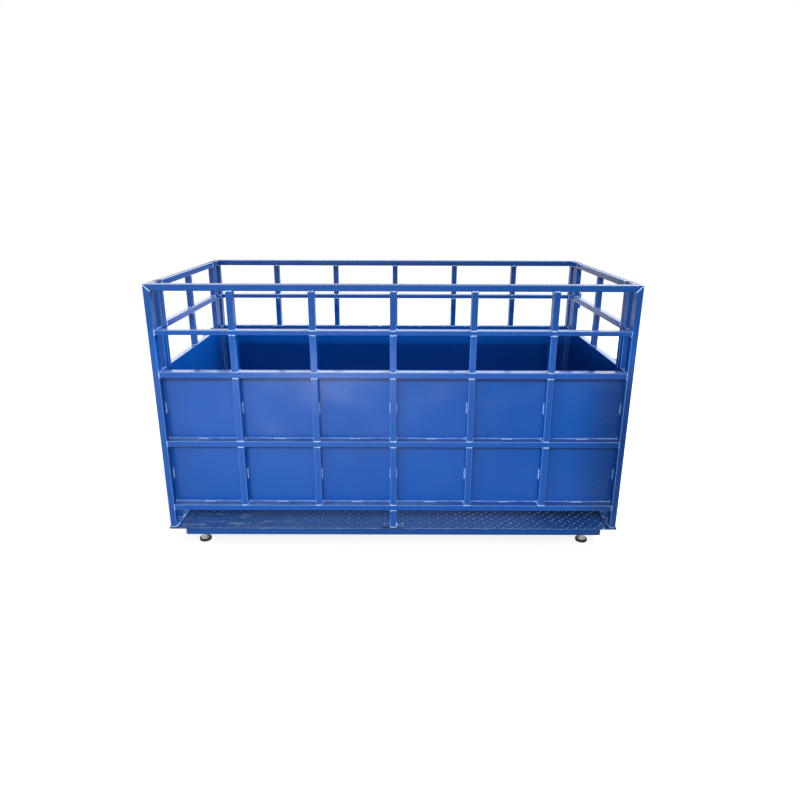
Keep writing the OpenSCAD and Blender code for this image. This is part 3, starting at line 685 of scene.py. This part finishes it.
# %% Frame enamel and painted bolts
FRAME_BLUE, FRAME_END_SHADE = (0.003, 0.068, 0.31, 1.0), (0.004, 0.042, 0.185, 1.0)
FRAME_CORNER_HIGHLIGHT, FRAME_DUST_AND_SHEEN = (0.12, 0.30, 0.74, 1.0), 0.45
PLATE_EDGE_SHADE, EDGE_SHADE_SLOPE = (0.006, 0.012, 0.030, 1.0), (0.2, 0.6, 0.9, 0.0)
EDGE_SHADE_FROM, EDGE_SHADE_FULL = 0.0015, 0.0005
BOLT_WORN, BOLT_DUST = (0.36, 0.40, 0.46, 1.0), 0.3

frame_enamel, tree, shader = new_material("frame_enamel")
spot = split(tree, surface(tree))
up = split(tree, surface(tree, "Normal"))["Z"]
paint = lay_over(tree, FRAME_BLUE, (end_shade_mask(tree, spot), FRAME_END_SHADE))
film = coat(tree, shader, Paint=paint, Corner_Paint=FRAME_CORNER_HIGHLIGHT, Drift=0.4, Wear=0.7, Gloss=0.18)
with_dust_and_sheen = place_group(tree, dust_and_sheen, Color=film["Color"], Amount=FRAME_DUST_AND_SHEEN)
# painted shade: the upright edges of the plates above the deck are darkened
edge_shade = remap(tree, spot["Z"], deck_high.z - EDGE_SHADE_FROM, deck_high.z - EDGE_SHADE_FULL)
edge_shade = times(tree, edge_shade, remap(tree, up, *EDGE_SHADE_SLOPE))
wire(tree, shader, Base_Color=lay_over(tree, with_dust_and_sheen["Color"], (edge_shade, PLATE_EDGE_SHADE)))

painted_bolt, tree, shader = new_material("painted_bolt")
film = coat(tree, shader, Paint=DECK_BLUE, Corner_Paint=BOLT_WORN, Drift=0.4, Wear=0.8, Gloss=0.28)
with_dust_and_sheen = place_group(tree, dust_and_sheen, Color=film["Color"], Amount=BOLT_DUST)
wire(tree, shader, Base_Color=with_dust_and_sheen["Color"])
print("made", frame_enamel.name, "and", painted_bolt.name)

# %% [markdown]
# ## Weld enamel
# The weld beads are painted a lighter blue than the tubes, a painted highlight for the light that round
# beads catch. A thick coat on a round bead stays very glossy, and it is speckled with pale flecks, which are
# painted glints. Low down at both ends they carry a painted shade too.

# %% Weld enamel
WELD_HIGHLIGHT_BLUE, WELD_GLINT = (0.06, 0.20, 0.66, 1.0), (0.50, 0.76, 1.0, 1.0)
WELD_END_SHADE, WELD_END_SHADE_SHARE = (0.02, 0.11, 0.42, 1.0), 0.65
WELD_GLINT_SCALE, WELD_GLINT_LIMITS = 150.0, (0.36, 0.46)

weld_enamel, tree, shader = new_material("weld_enamel")
where = surface(tree)
film = coat(tree, shader, Paint=WELD_HIGHLIGHT_BLUE, Corner_Paint=ENAMEL_CORNER_HIGHLIGHT, Drift=0.4, Wear=0.25, Gloss=0.10)
# painted glints: pale flecks on the beads
glint_flecks = patches(tree, where, WELD_GLINT_SCALE, WELD_GLINT_LIMITS, roughness=0.6)
end_shaded = times(tree, end_shade_mask(tree, split(tree, where)), WELD_END_SHADE_SHARE)
marks = (glint_flecks, WELD_GLINT), (end_shaded, WELD_END_SHADE)
wire(tree, shader, Base_Color=lay_over(tree, film["Color"], *marks))
print("made", weld_enamel.name)

# %% [markdown]
# ## Bare metal, rubber and plastic
# Four metal finishes share the grain group with their own colors. Rubber and plastic are dark and differ in
# how rough they are, so one function makes both from a fine noise for mould texture, paler worn patches and
# a little dust.

# %% Bare metal
def metal(name, color, spot, gloss, depth, metallic=1.0):
    """A metal finish made with the grain group."""
    material, tree, shader = new_material(name, metallic=metallic)
    grain = place_group(tree, metal_grain, Metal=color, Spot=spot, Gloss=gloss)
    wire(tree, shader, Base_Color=grain["Color"], Roughness=grain["Roughness"])
    bump(tree, shader, grain["Height"], depth)
    return material


zinc_plate = metal(
    "zinc_plate", color=(0.66, 0.67, 0.69, 1.0), spot=(0.46, 0.47, 0.49, 1.0), gloss=0.26, depth=0.0001,
)
dull_zinc = metal(
    "dull_zinc", color=(0.74, 0.75, 0.77, 1.0), spot=(0.58, 0.59, 0.61, 1.0), gloss=0.40, depth=0.0001,
    metallic=0.35,
)
cast_alloy = metal(
    "cast_alloy", color=(0.60, 0.61, 0.63, 1.0), spot=(0.44, 0.45, 0.47, 1.0), gloss=0.38, depth=0.0002,
)
black_steel = metal(
    "black_steel", color=(0.10, 0.095, 0.09, 1.0), spot=(0.19, 0.15, 0.12, 1.0), gloss=0.34, depth=0.0002,
)
print("made", zinc_plate.name, dull_zinc.name, cast_alloy.name, black_steel.name)

# %% Rubber and plastic
MOULD_SPECULAR, MOULD_DULL = 0.4, 0.25
MOULD_PATCH_SCALE, MOULD_PATCH_LIMITS = 30.0, (0.45, 0.75)


def moulded(name, color, worn, gloss, grain_scale, depth, dust):
    """A rubber or plastic finish: mould grain, pale worn patches and dust."""
    material, tree, shader = new_material(name, specular=MOULD_SPECULAR)
    where = surface(tree)
    grain = noise(tree, where, grain_scale, detail=3.0)
    pale = patches(tree, where, MOULD_PATCH_SCALE, MOULD_PATCH_LIMITS, detail=4.0)
    with_dust_and_sheen = place_group(tree, dust_and_sheen, Color=lay_over(tree, color, (pale, worn)), Amount=dust)
    rough = calculate(tree, "MULTIPLY_ADD", grain, MOULD_DULL, gloss)
    wire(tree, shader, Base_Color=with_dust_and_sheen["Color"], Roughness=rough)
    bump(tree, shader, grain, depth)
    return material


foot_rubber = moulded(
    "foot_rubber", color=(0.012, 0.012, 0.013, 1.0), worn=(0.035, 0.035, 0.036, 1.0), gloss=0.50,
    grain_scale=300.0, depth=0.0003, dust=0.25,
)
plug_plastic = moulded(
    "plug_plastic", color=(0.014, 0.014, 0.016, 1.0), worn=(0.028, 0.028, 0.030, 1.0), gloss=0.38,
    grain_scale=420.0, depth=0.0001, dust=0.08,
)
print("made", foot_rubber.name, "and", plug_plastic.name)

# %% [markdown]
# ## Dress the CAD nodes
# The record already says which finish each node wears, so a small table from slot to material dresses them
# all. A second table, by the end of a node's name, gives the waved paint to the sheets, the dull paint to
# the frame and the foot plates, paint to the bolts and a duller zinc to the feet.

# %% Dress the CAD nodes
FINISHES = {
    "blue_paint": blue_enamel,
    "deck_paint": deck_enamel,
    "zinc_steel": zinc_plate,
    "alloy": cast_alloy,
    "dark_steel": black_steel,
    "rubber": foot_rubber,
    "black_plastic": plug_plastic,
}
SPECIAL_FINISHES = {
    "sheet": sheet_enamel,
    "beams": frame_enamel,
    "base_plates": frame_enamel,
    "anchor_bolts": painted_bolt,
    "foot": dull_zinc,
}
for part in frame["record"]["subparts"]:
    name = part["node"]
    finish = FINISHES[part["material_slot"]]
    for ending, special in SPECIAL_FINISHES.items():
        if name.endswith(ending):
            finish = special
    for slot in nodes[name].material_slots:
        slot.material = finish

# %% [markdown]
# ## Checker plate
# The deck is rolled with lens-shaped lugs. Lugs of one direction form a square pattern, and those of the
# other direction sit in the middles of its squares. More than two thousand of them are too many to place by
# hand, so Geometry Nodes put a flat lens on each point of two grids. The second grid has one step fewer,
# which moves it by half a step, and its lugs are turned by a right angle. The lower half of each lens lies
# inside the plate. The tree ends in plain geometry, which becomes one mesh.

# %% Geometry Nodes helpers
GEOMETRY, MATERIAL, INTEGER = "NodeSocketGeometry", "NodeSocketMaterial", "NodeSocketInt"


def new_tree(name, sizes, seeds=()):
    """A geometry tree with a named input for each size and seed and for the finish."""
    inputs = {"Geometry": GEOMETRY, "Finish": MATERIAL}
    inputs.update({label: FLOAT for label in sizes})
    inputs.update({label: INTEGER for label in seeds})
    return new_group(name, inputs, {"Geometry": GEOMETRY}, kind="GeometryNodeTree")


def finish_tree(tree, result, instances, material, smooth):
    """Realize the instances, shade them, give them their finish and put them out."""
    solid = output_of(tree, "GeometryNodeRealizeInstances", Geometry=instances)
    shaded = output_of(tree, "GeometryNodeSetShadeSmooth", Geometry=solid, Shade_Smooth=smooth)
    painted = output_of(tree, "GeometryNodeSetMaterial", Geometry=shaded, Material=material)
    feed(tree, result["Geometry"], painted)


def grow(name, mesh, tree, settings, body):
    """Run a tree on a mesh, keep the plain result and let it ride on its body."""
    piece = bpy.data.objects.new(name, mesh)
    bpy.context.collection.objects.link(piece)
    modifier = piece.modifiers.new(tree.name, "NODES")
    modifier.node_group = tree
    for socket in tree.interface.items_tree:
        if socket.name in settings:
            modifier[socket.identifier] = settings[socket.name]
    graph = bpy.context.evaluated_depsgraph_get()
    plain = bpy.data.meshes.new_from_object(piece.evaluated_get(graph))
    plain.name = name
    piece.modifiers.remove(modifier)
    piece.data = plain
    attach(piece, body)
    print(name, "has", len(plain.polygons), "faces")


def points_mesh(name, points, edges=()):
    """A mesh of loose points and edges, to grow pieces on."""
    mesh = bpy.data.meshes.new(name)
    mesh.from_pydata([tuple(p) for p in points], list(edges), [])
    return mesh


print("helpers for geometry ready")

# %% Checker lugs
LUG_PITCH = 0.062
LUG_LENGTH, LUG_WIDTH, LUG_HEIGHT = 0.034, 0.011, 0.0013
LUG_SEGMENTS, LUG_RINGS, LUG_BALL_RADIUS = 10, 4, 0.5
SILL_WIDTH, EDGE_ROOM = 0.062, 0.016
LUG_TURN = RIGHT_ANGLE / 2

sill_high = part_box("base_plates")[1]
lug_sizes = {
    "Half Length": sill_high.x - SILL_WIDTH - EDGE_ROOM,
    "Half Width": deck_high.y - EDGE_ROOM,
    "Pitch": LUG_PITCH,
    "Level": deck_high.z,
    "Lug Length": LUG_LENGTH,
    "Lug Width": LUG_WIDTH,
    "Lug Height": LUG_HEIGHT,
}
lug_tree, given, result = new_tree("checker_plate", lug_sizes)
tree = lug_tree
lug = output_of(
    tree, "GeometryNodeMeshUVSphere", Segments=LUG_SEGMENTS, Rings=LUG_RINGS, Radius=LUG_BALL_RADIUS,
)
thick = times(tree, given["Lug Height"], 2.0)
stretch = output_of(tree, "ShaderNodeCombineXYZ", X=given["Lug Length"], Y=given["Lug Width"], Z=thick)
level = output_of(tree, "ShaderNodeCombineXYZ", Z=given["Level"])
both = add_node(tree, "GeometryNodeJoinGeometry")
for fewer, angle in ((0.0, LUG_TURN), (1.0, LUG_TURN + RIGHT_ANGLE)):
    grid = add_node(tree, "GeometryNodeMeshGrid")
    for axis, half in (("X", "Half Length"), ("Y", "Half Width")):
        room = calculate(tree, "DIVIDE", times(tree, given[half], 2.0), given["Pitch"])
        steps = calculate(tree, "SUBTRACT", calculate(tree, "FLOOR", room), fewer)
        feed(tree, grid.inputs["Size " + axis], times(tree, steps, given["Pitch"]))
        feed(tree, grid.inputs["Vertices " + axis], calculate(tree, "ADD", steps, 1.0))
    lifted = output_of(tree, "GeometryNodeSetPosition", Geometry=grid.outputs["Mesh"], Offset=level)
    turn = (0.0, 0.0, angle)
    lugs = output_of(
        tree, "GeometryNodeInstanceOnPoints", Points=lifted, Instance=lug, Rotation=turn, Scale=stretch,
    )
    feed(tree, both.inputs[0], lugs)
finish_tree(tree, result, both.outputs[0], given["Finish"], smooth=True)

lug_seed = points_mesh("checker_lugs_seed", [(0, 0, deck_high.z)])
grow("checker_lugs", lug_seed, lug_tree, {**lug_sizes, "Finish": lug_enamel}, "platform")

# %% [markdown]
# ## Weld beads
# Every joint of the fence is closed by a bead of overlapping ripples, like fish scales. A bead follows a
# seam, so the seams are listed as straight lines between the tubes, and one tree strings small balls along
# each line with a little random size and wander. The seams come from the boxes of the CAD nodes.

# %% Weld bead tree
BEAD_RADIUS, BEAD_PITCH, BEAD_WANDER = 0.0040, 0.0052, 0.0003
BEAD_SMALL, BEAD_LARGE = 0.8, 1.12
BEAD_SEGMENTS, BEAD_RINGS = 7, 4
BEAD_SEED = 11


def draw(tree, data_type, ending, low, high, seed):
    """A random draw for each point; the sockets of each type of data have their own ending."""
    node = add_node(tree, "FunctionNodeRandomValue", data_type=data_type)
    for identifier, value in (("Min" + ending, low), ("Max" + ending, high), ("Seed", seed)):
        feed(tree, by_identifier(node.inputs, identifier), value)
    return by_identifier(node.outputs, "Value" + ending)


bead_sizes = ("Radius", "Pitch", "Wander", "Spread X", "Spread Z")
bead_tree, given, result = new_tree("weld_bead", bead_sizes, seeds=("Seed",))
tree = bead_tree
line = output_of(tree, "GeometryNodeMeshToCurve", Mesh=given["Geometry"])
steps = add_node(tree, "GeometryNodeResampleCurve", mode="LENGTH")
wire(tree, steps, Curve=line, Length=given["Pitch"])
stray = draw(tree, "FLOAT_VECTOR", "", (-1, -1, -1), (1, 1, 1), given["Seed"])
stray = vector_math(tree, "MULTIPLY", stray, given["Wander"])["Vector"]
moved = output_of(tree, "GeometryNodeSetPosition", Geometry=steps.outputs[0], Offset=stray)
ripple = output_of(
    tree, "GeometryNodeMeshUVSphere", Segments=BEAD_SEGMENTS, Rings=BEAD_RINGS, Radius=given["Radius"],
)
size = draw(tree, "FLOAT", "_001", BEAD_SMALL, BEAD_LARGE, given["Seed"])
wide = times(tree, size, given["Spread X"])
tall = times(tree, size, given["Spread Z"])
spread = output_of(tree, "ShaderNodeCombineXYZ", X=wide, Y=size, Z=tall)
beads = output_of(tree, "GeometryNodeInstanceOnPoints", Points=moved, Instance=ripple, Scale=spread)
finish_tree(tree, result, beads, given["Finish"], smooth=True)


def weld(name, seams, body, radius=BEAD_RADIUS, spread_x=1.0, spread_z=1.0):
    """Weld beads along straight seams, as one piece that rides on a body."""
    points = [end for seam in seams for end in seam]
    edges = [(2 * i, 2 * i + 1) for i in range(len(seams))]
    settings = {
        "Radius": radius, "Pitch": BEAD_PITCH, "Wander": BEAD_WANDER, "Seed": BEAD_SEED,
        "Spread X": spread_x, "Spread Z": spread_z, "Finish": weld_enamel,
    }
    grow(name, points_mesh(name + "_seams", points, edges), bead_tree, settings, body)


print("weld bead nodes:", len(tree.nodes))

# %% [markdown]
# A tube that butts on another one is welded all round, so a helper gives the four sides of a rectangle that
# lies across one axis. A side is left out where a sheet covers it, and on top of the rails at the posts,
# where the bead is ground flush. A second helper gives a tack, which is a short seam of a known length.

# %% Helpers for seams
X, Y, Z = range(3)
CORNER_ROOM = 0.005


def around(axis, at, low, high, skip=()):
    """Four seams round a rectangle across an axis, given its corners on the two other axes."""
    others = [i for i in range(3) if i != axis]
    seams = []
    for fixed, running in ((0, 1), (1, 0)):
        for name, value in (("low", low[fixed]), ("high", high[fixed])):
            if (others[fixed], name) in skip:
                continue
            ends = []
            for along in (low[running] + CORNER_ROOM, high[running] - CORNER_ROOM):
                point = [0.0, 0.0, 0.0]
                point[axis], point[others[fixed]], point[others[running]] = at, value, along
                ends.append(tuple(point))
            seams.append(tuple(ends))
    return seams


def tack(axis, center, length):
    """One straight seam along an axis, half of it on each side of its center."""
    ends = [list(center), list(center)]
    ends[0][axis] -= length / 2
    ends[1][axis] += length / 2
    return tuple(ends)


print("seams keep", CORNER_ROOM, "m clear of a tube's corners")

# %% [markdown]
# The side panels come first: uprights between rails, rails between posts, the mitres of the top rail, the
# feet of the posts and of the stub in the middle, and tacks along each sheet. The tacks on the pen's side
# of the rear sheet are uneven, as hand work is, so their places stray by a sine and every third one is
# alike.

# %% Seams of the side panels
BAYS = 6
MITRE_ROOM, BEAD_SINK = 0.007, 0.0018
SHEET_ROWS, SHEET_RAILS = (0, 1), (0, 1, 2)
PANEL_SPREAD_X, PANEL_SPREAD_Z = 1.1, 1.3
UP_SIDE = (Z, "high")

post_low, post_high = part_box("front_posts")
half_length = post_high.x
post_inside = half_length - tube_face
half_face = tube_face / 2
panel_out = -post_low.y
panel_in = panel_out - (post_high.y - post_low.y)
bay = (2 * half_length - tube_face) / BAYS
line_x = [-half_length + half_face + i * bay for i in range(BAYS + 1)]


def panel_seams(side):
    """Seams of one side panel; side is -1 for the front and 1 for the rear."""
    low_y, high_y = sorted((side * (panel_out - BEAD_SINK), side * panel_in))
    inner = (Y, "high" if side < 0 else "low")
    seams = []
    for row, (below, above) in enumerate(zip(rails, rails[1:])):
        hidden = {inner} if row in SHEET_ROWS else set()
        for x in line_x[1:-1]:
            for z in (below[1].z, above[0].z):
                seams += around(Z, z, (x - half_face, low_y), (x + half_face, high_y), hidden)
    for row, (low, high) in enumerate(rails[:-1]):
        hidden = {inner, UP_SIDE} if row in SHEET_RAILS else {UP_SIDE}
        for x in (line_x[0] + half_face, line_x[-1] - half_face):
            seams += around(X, x, (low_y, low.z), (high_y, high.z), hidden)
    top_low, top_high = top_rail
    for end in (-1, 1):
        inside = end * post_inside
        tip = end * (half_length - MITRE_ROOM)
        for y in (low_y, high_y):
            seams.append(((tip, y, top_high.z - MITRE_ROOM), (inside, y, top_low.z)))
        seams.append(((inside, low_y + CORNER_ROOM, top_low.z), (inside, high_y - CORNER_ROOM, top_low.z)))
        low_x, high_x = sorted((inside, end * half_length))
        seams += around(Z, sill_high.z, (low_x, low_y), (high_x, high_y))
    for z in (sill_high.z, bottom_rail[0].z):
        seams += around(Z, z, (-half_face, low_y), (half_face, high_y))
    return seams


for label, side in (("front", -1), ("rear", 1)):
    weld(
        label + "_panel_welds", panel_seams(side), "platform",
        spread_x=PANEL_SPREAD_X, spread_z=PANEL_SPREAD_Z,
    )

# %% Tacks of the side sheets
TACK_LENGTH, TACK_RADIUS, TACK_LIFT = 0.064, 0.0052, 0.0044
CORNER_TACK = 0.010
SHEET_THICKNESS = 0.002
EDGE_TACKS_PER_BAY, EDGE_RADIUS = 3, 0.0058
EDGE_TACK, EDGE_TACK_KINDS = 0.014, 3
EDGE_STRAY, EDGE_STRAY_TURN = 0.3, 3.7


def cell_tacks(side):
    """Tack welds that hold a panel's sheet: one on each side of a cell and one in each lower corner."""
    y = side * (panel_in + TACK_LIFT)
    tacks = []
    for row in SHEET_ROWS:
        z_low, z_high = rails[row][1].z, rails[row + 1][0].z
        for left, right in zip(line_x, line_x[1:]):
            ends = (left + half_face, right - half_face)
            for x in ends:
                tacks.append(tack(Z, (x, y, (z_low + z_high) / 2), TACK_LENGTH))
            for z in (z_low, z_high):
                tacks.append(tack(X, ((left + right) / 2, y, z), TACK_LENGTH))
            for x, step in zip(ends, (CORNER_TACK, -CORNER_TACK)):
                tacks.append(((x, y, z_low + CORNER_TACK), (x, y, z_low)))
                tacks.append(((x, y, z_low), (x + step, y, z_low)))
    return tacks


def sheet_edge_tacks(side):
    """Short tacks along the top edge of a panel's sheet, on the side of the pen, some longer than others."""
    y = side * (panel_in - SHEET_THICKNESS)
    step = bay / EDGE_TACKS_PER_BAY
    tacks = []
    for i in range(BAYS * EDGE_TACKS_PER_BAY):
        x = line_x[0] + step * (i + 0.5 + EDGE_STRAY * math.sin(EDGE_STRAY_TURN * i))
        length = EDGE_TACK * (1 + 2 * (i % EDGE_TACK_KINDS) / EDGE_TACK_KINDS)
        tacks.append(tack(X, (x, y, third_rail[1].z), length))
    return tacks


weld("front_sheet_tacks", cell_tacks(-1), "platform", radius=TACK_RADIUS)
weld("rear_sheet_tacks", cell_tacks(1), "platform", radius=TACK_RADIUS)
weld("sheet_edge_welds", sheet_edge_tacks(1), "platform", radius=EDGE_RADIUS)

# %% [markdown]
# The ends follow the same pattern. Gate posts stand on the sill and short links tie them to the panels' end
# posts; beads of the links that look up or into the pen are ground flush and left out. Hinge leaves and
# keepers are welded to the posts. The frame under the deck has a bead on each corner and short stitches
# along its beams.

# %% Seams of the ends and the frame
LEAF_LENGTH, LEAF_BEAD_REACH, LEAF_GAP = 0.060, 0.022, 0.0004
PLATE_WIDTH = 0.030
STITCH_LENGTH, STITCH_STEP = 0.040, 0.250

stile_low, stile_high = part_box("left_gate_stiles")
gate_out, gate_in = stile_low.x, stile_high.x
gate_tube = gate_in - gate_out
gate_edge = stile_high.y
post_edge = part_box("left_gate_posts")[1].y


def end_seams():
    """Seams of the fixed tubes at the left end."""
    ground = {(X, "high"), UP_SIDE}
    seams = []
    for side in (-1, 1):
        low_y, high_y = sorted((side * (post_edge - gate_tube), side * post_edge))
        seams += around(Z, sill_high.z, (gate_out, low_y), (gate_in, high_y))
        for low, high in rails:
            for y in (side * post_edge, side * panel_in):
                seams += around(Y, y, (gate_out, low.z), (gate_in, high.z), ground)
    return seams


def hinge_seams(bottom, top, edge_y, far_y):
    """Three seams round each of two hinge leaves: along the edge away from the pin and along both ends."""
    seams = []
    for z_low, z_high in ((bottom, bottom + LEAF_LENGTH), (top - LEAF_LENGTH, top)):
        seams.append(((gate_out, edge_y, z_low + CORNER_ROOM), (gate_out, edge_y, z_high - CORNER_ROOM)))
        for z in (z_low, z_high):
            seams.append(((gate_out, edge_y, z), (gate_out, far_y, z)))
    return seams


def keeper_seams():
    """Seams round the foot of the left keeper."""
    low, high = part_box("bolt_keepers")
    return around(X, gate_out, (high.y - PLATE_WIDTH, low.z), (high.y, high.z))


def frame_corner_seams():
    """Upright seams on the mitred corners of the frame under the deck."""
    low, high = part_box("end_beams")
    return [((x, y, low.z + CORNER_ROOM), (x, y, high.z - CORNER_ROOM))
            for x in (-high.x, high.x) for y in (-high.y, high.y)]


def deck_stitches():
    """Short seams between the deck and the long beams under it, at even steps."""
    low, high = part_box("side_beams")
    count = int(2 * (high.x - STITCH_STEP / 2) / STITCH_STEP)
    xs = [STITCH_STEP * (i - (count - 1) / 2) for i in range(count)]
    z = high.z - BEAD_RADIUS / 2
    return [tack(X, (x, y, z), STITCH_LENGTH) for y in (low.y, high.y) for x in xs]


def half_turn(seams):
    """The same seams at the other end of the crate."""
    return [tuple((-x, -y, z) for x, y, z in seam) for seam in seams]


leaf_low, leaf_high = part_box("left_gate_hinge_leaves")
post_leaf_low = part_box("post_hinge_leaves")[0]
post_leaf_top = leaf_high.z - LEAF_LENGTH - LEAF_GAP
post_leaf_far = post_leaf_low.y + LEAF_BEAD_REACH
end_welds = end_seams() + hinge_seams(post_leaf_low.z, post_leaf_top, post_leaf_low.y, post_leaf_far)
end_welds += keeper_seams()
weld("end_welds", end_welds + half_turn(end_welds) + frame_corner_seams() + deck_stitches(), "platform")

# %% [markdown]
# Each gate is a frame of its own, so its beads are a piece of its own that swings with it. The right-hand
# gate is the left-hand one turned half round, and a half turn of a list of seams is only a change of signs.

# %% Seams of the gates
GATE_SECOND_RISE, GUIDE_FOOT = 0.004, 0.020

gate_second = second_rail[0].z + GATE_SECOND_RISE
gate_rail_z = [
    (gate_bottom, gate_bottom + tube_face),
    (fourth_rail[0].z, fourth_rail[1].z),
    (third_rail[0].z, third_rail[1].z),
    (gate_second, gate_second + gate_tube),
    (top_rail[0].z, top_rail[1].z),
]


def gate_seams():
    """Seams of the left gate: rails on the stiles, uprights on the rails, tacks along the sheet."""
    inner = (X, "high")
    rail_end = gate_edge - gate_tube
    half_tube = gate_tube / 2
    cell_middle = (rail_end + half_tube) / 2
    tack_x = gate_in - TACK_LIFT
    seams = []
    for row, (low, high) in enumerate(gate_rail_z):
        hidden = {inner} if row in SHEET_RAILS else set()
        if row == len(gate_rail_z) - 1:
            hidden.add(UP_SIDE)
        for y in (-rail_end, rail_end):
            seams += around(Y, y, (gate_out, low), (gate_in, high), hidden)
    for row, (below, above) in enumerate(zip(gate_rail_z, gate_rail_z[1:])):
        z_low, z_high = below[1], above[0]
        hidden = {inner} if row in SHEET_ROWS else set()
        for z in (z_low, z_high):
            seams += around(Z, z, (gate_out, -half_tube), (gate_in, half_tube), hidden)
        if row in SHEET_ROWS:
            for y in (-rail_end, -half_tube, half_tube, rail_end):
                seams.append(tack(Z, (tack_x, y, (z_low + z_high) / 2), TACK_LENGTH))
            for y in (-cell_middle, cell_middle):
                for z in (z_low, z_high):
                    seams.append(tack(Y, (tack_x, y, z), TACK_LENGTH))
    return seams


def guide_seams():
    """Seams round the feet of the two guides of the left slide bolt."""
    low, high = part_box("left_bolt_guides")
    middle = (low.z + high.z) / 2
    seams = []
    for y in (low.y, high.y - PLATE_WIDTH):
        seams += around(X, gate_out, (y, middle - GUIDE_FOOT / 2), (y + PLATE_WIDTH, middle + GUIDE_FOOT / 2))
    return seams


gate_welds = gate_seams()
gate_welds += hinge_seams(leaf_low.z, leaf_high.z, leaf_high.y, leaf_high.y - LEAF_BEAD_REACH)
gate_welds += guide_seams()
weld("left_gate_welds", gate_welds, "left_gate")
weld("right_gate_welds", half_turn(gate_welds), "right_gate")

# %% [markdown]
# ## Bolts under the load cells and screws in the lid
# Each load cell hangs from the frame by two bolts whose heads show from below, and four screws hold the lid
# of the junction box. One tree puts a washer and a six-sided head on every point, pointing down. Threads
# would never be seen, so there are none.

# %% Bolt tree
HEX_SIDES, WASHER_SIDES = 6, 20
SINK = 0.0002

bolt_sizes = ("Head Radius", "Head Height", "Washer Radius", "Washer Height", "Sink")
bolt_tree, given, result = new_tree("hung_bolt", bolt_sizes)
tree = bolt_tree
stack = add_node(tree, "GeometryNodeJoinGeometry")
for label, sides in (("Washer", WASHER_SIDES), ("Head", HEX_SIDES)):
    thick = calculate(tree, "ADD", given[label + " Height"], given["Sink"])
    middle = calculate(tree, "MULTIPLY_ADD", thick, -0.5, given["Sink"])
    if label == "Head":
        middle = calculate(tree, "SUBTRACT", middle, given["Washer Height"])
    radius = given[label + " Radius"]
    disc = output_of(tree, "GeometryNodeMeshCylinder", Vertices=sides, Radius=radius, Depth=thick)
    drop = output_of(tree, "ShaderNodeCombineXYZ", Z=middle)
    feed(tree, stack.inputs[0], output_of(tree, "GeometryNodeTransform", Geometry=disc, Translation=drop))
hung = output_of(
    tree, "GeometryNodeInstanceOnPoints", Points=given["Geometry"], Instance=stack.outputs[0],
)
finish_tree(tree, result, hung, given["Finish"], smooth=False)
print("bolt nodes:", len(tree.nodes))

# %% Bolts and screws
CELL_BOLT_HEAD, CELL_BOLT_WASHER = (0.0092, 0.0064), (0.0105, 0.0016)
LID_SCREW_HEAD, LID_SCREW_WASHER = (0.0035, 0.0022), (0.0038, 0.0004)
CELL_BOLT_PITCH, LID_SCREW_INSET = 0.026, 0.009
SPACER_LENGTH, CELL_WIDTH = 0.064, 0.032


def hang_bolts(name, points, head, washer):
    """Bolt heads with washers under a list of points; a head and a washer are a radius and a height."""
    settings = {
        "Head Radius": head[0], "Head Height": head[1],
        "Washer Radius": washer[0], "Washer Height": washer[1],
        "Sink": SINK, "Finish": zinc_plate,
    }
    grow(name, points_mesh(name + "_seed", points), bolt_tree, settings, "platform")


cell_low, cell_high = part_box("load_cells")
spacer_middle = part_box("cell_spacers")[1].x - SPACER_LENGTH / 2
cell_line = cell_high.y - CELL_WIDTH / 2
cell_bolts = [(sx * (spacer_middle + step * CELL_BOLT_PITCH / 2), sy * cell_line, cell_low.z)
              for sx in (-1, 1) for sy in (-1, 1) for step in (-1, 1)]
hang_bolts("load_cell_bolts", cell_bolts, CELL_BOLT_HEAD, CELL_BOLT_WASHER)

lid_low, lid_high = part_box("junction_box_lid")
lid_screws = [(x, y, lid_low.z) for x in (lid_low.x + LID_SCREW_INSET, lid_high.x - LID_SCREW_INSET)
              for y in (lid_low.y + LID_SCREW_INSET, lid_high.y - LID_SCREW_INSET)]
hang_bolts("lid_screws", lid_screws, LID_SCREW_HEAD, LID_SCREW_WASHER)
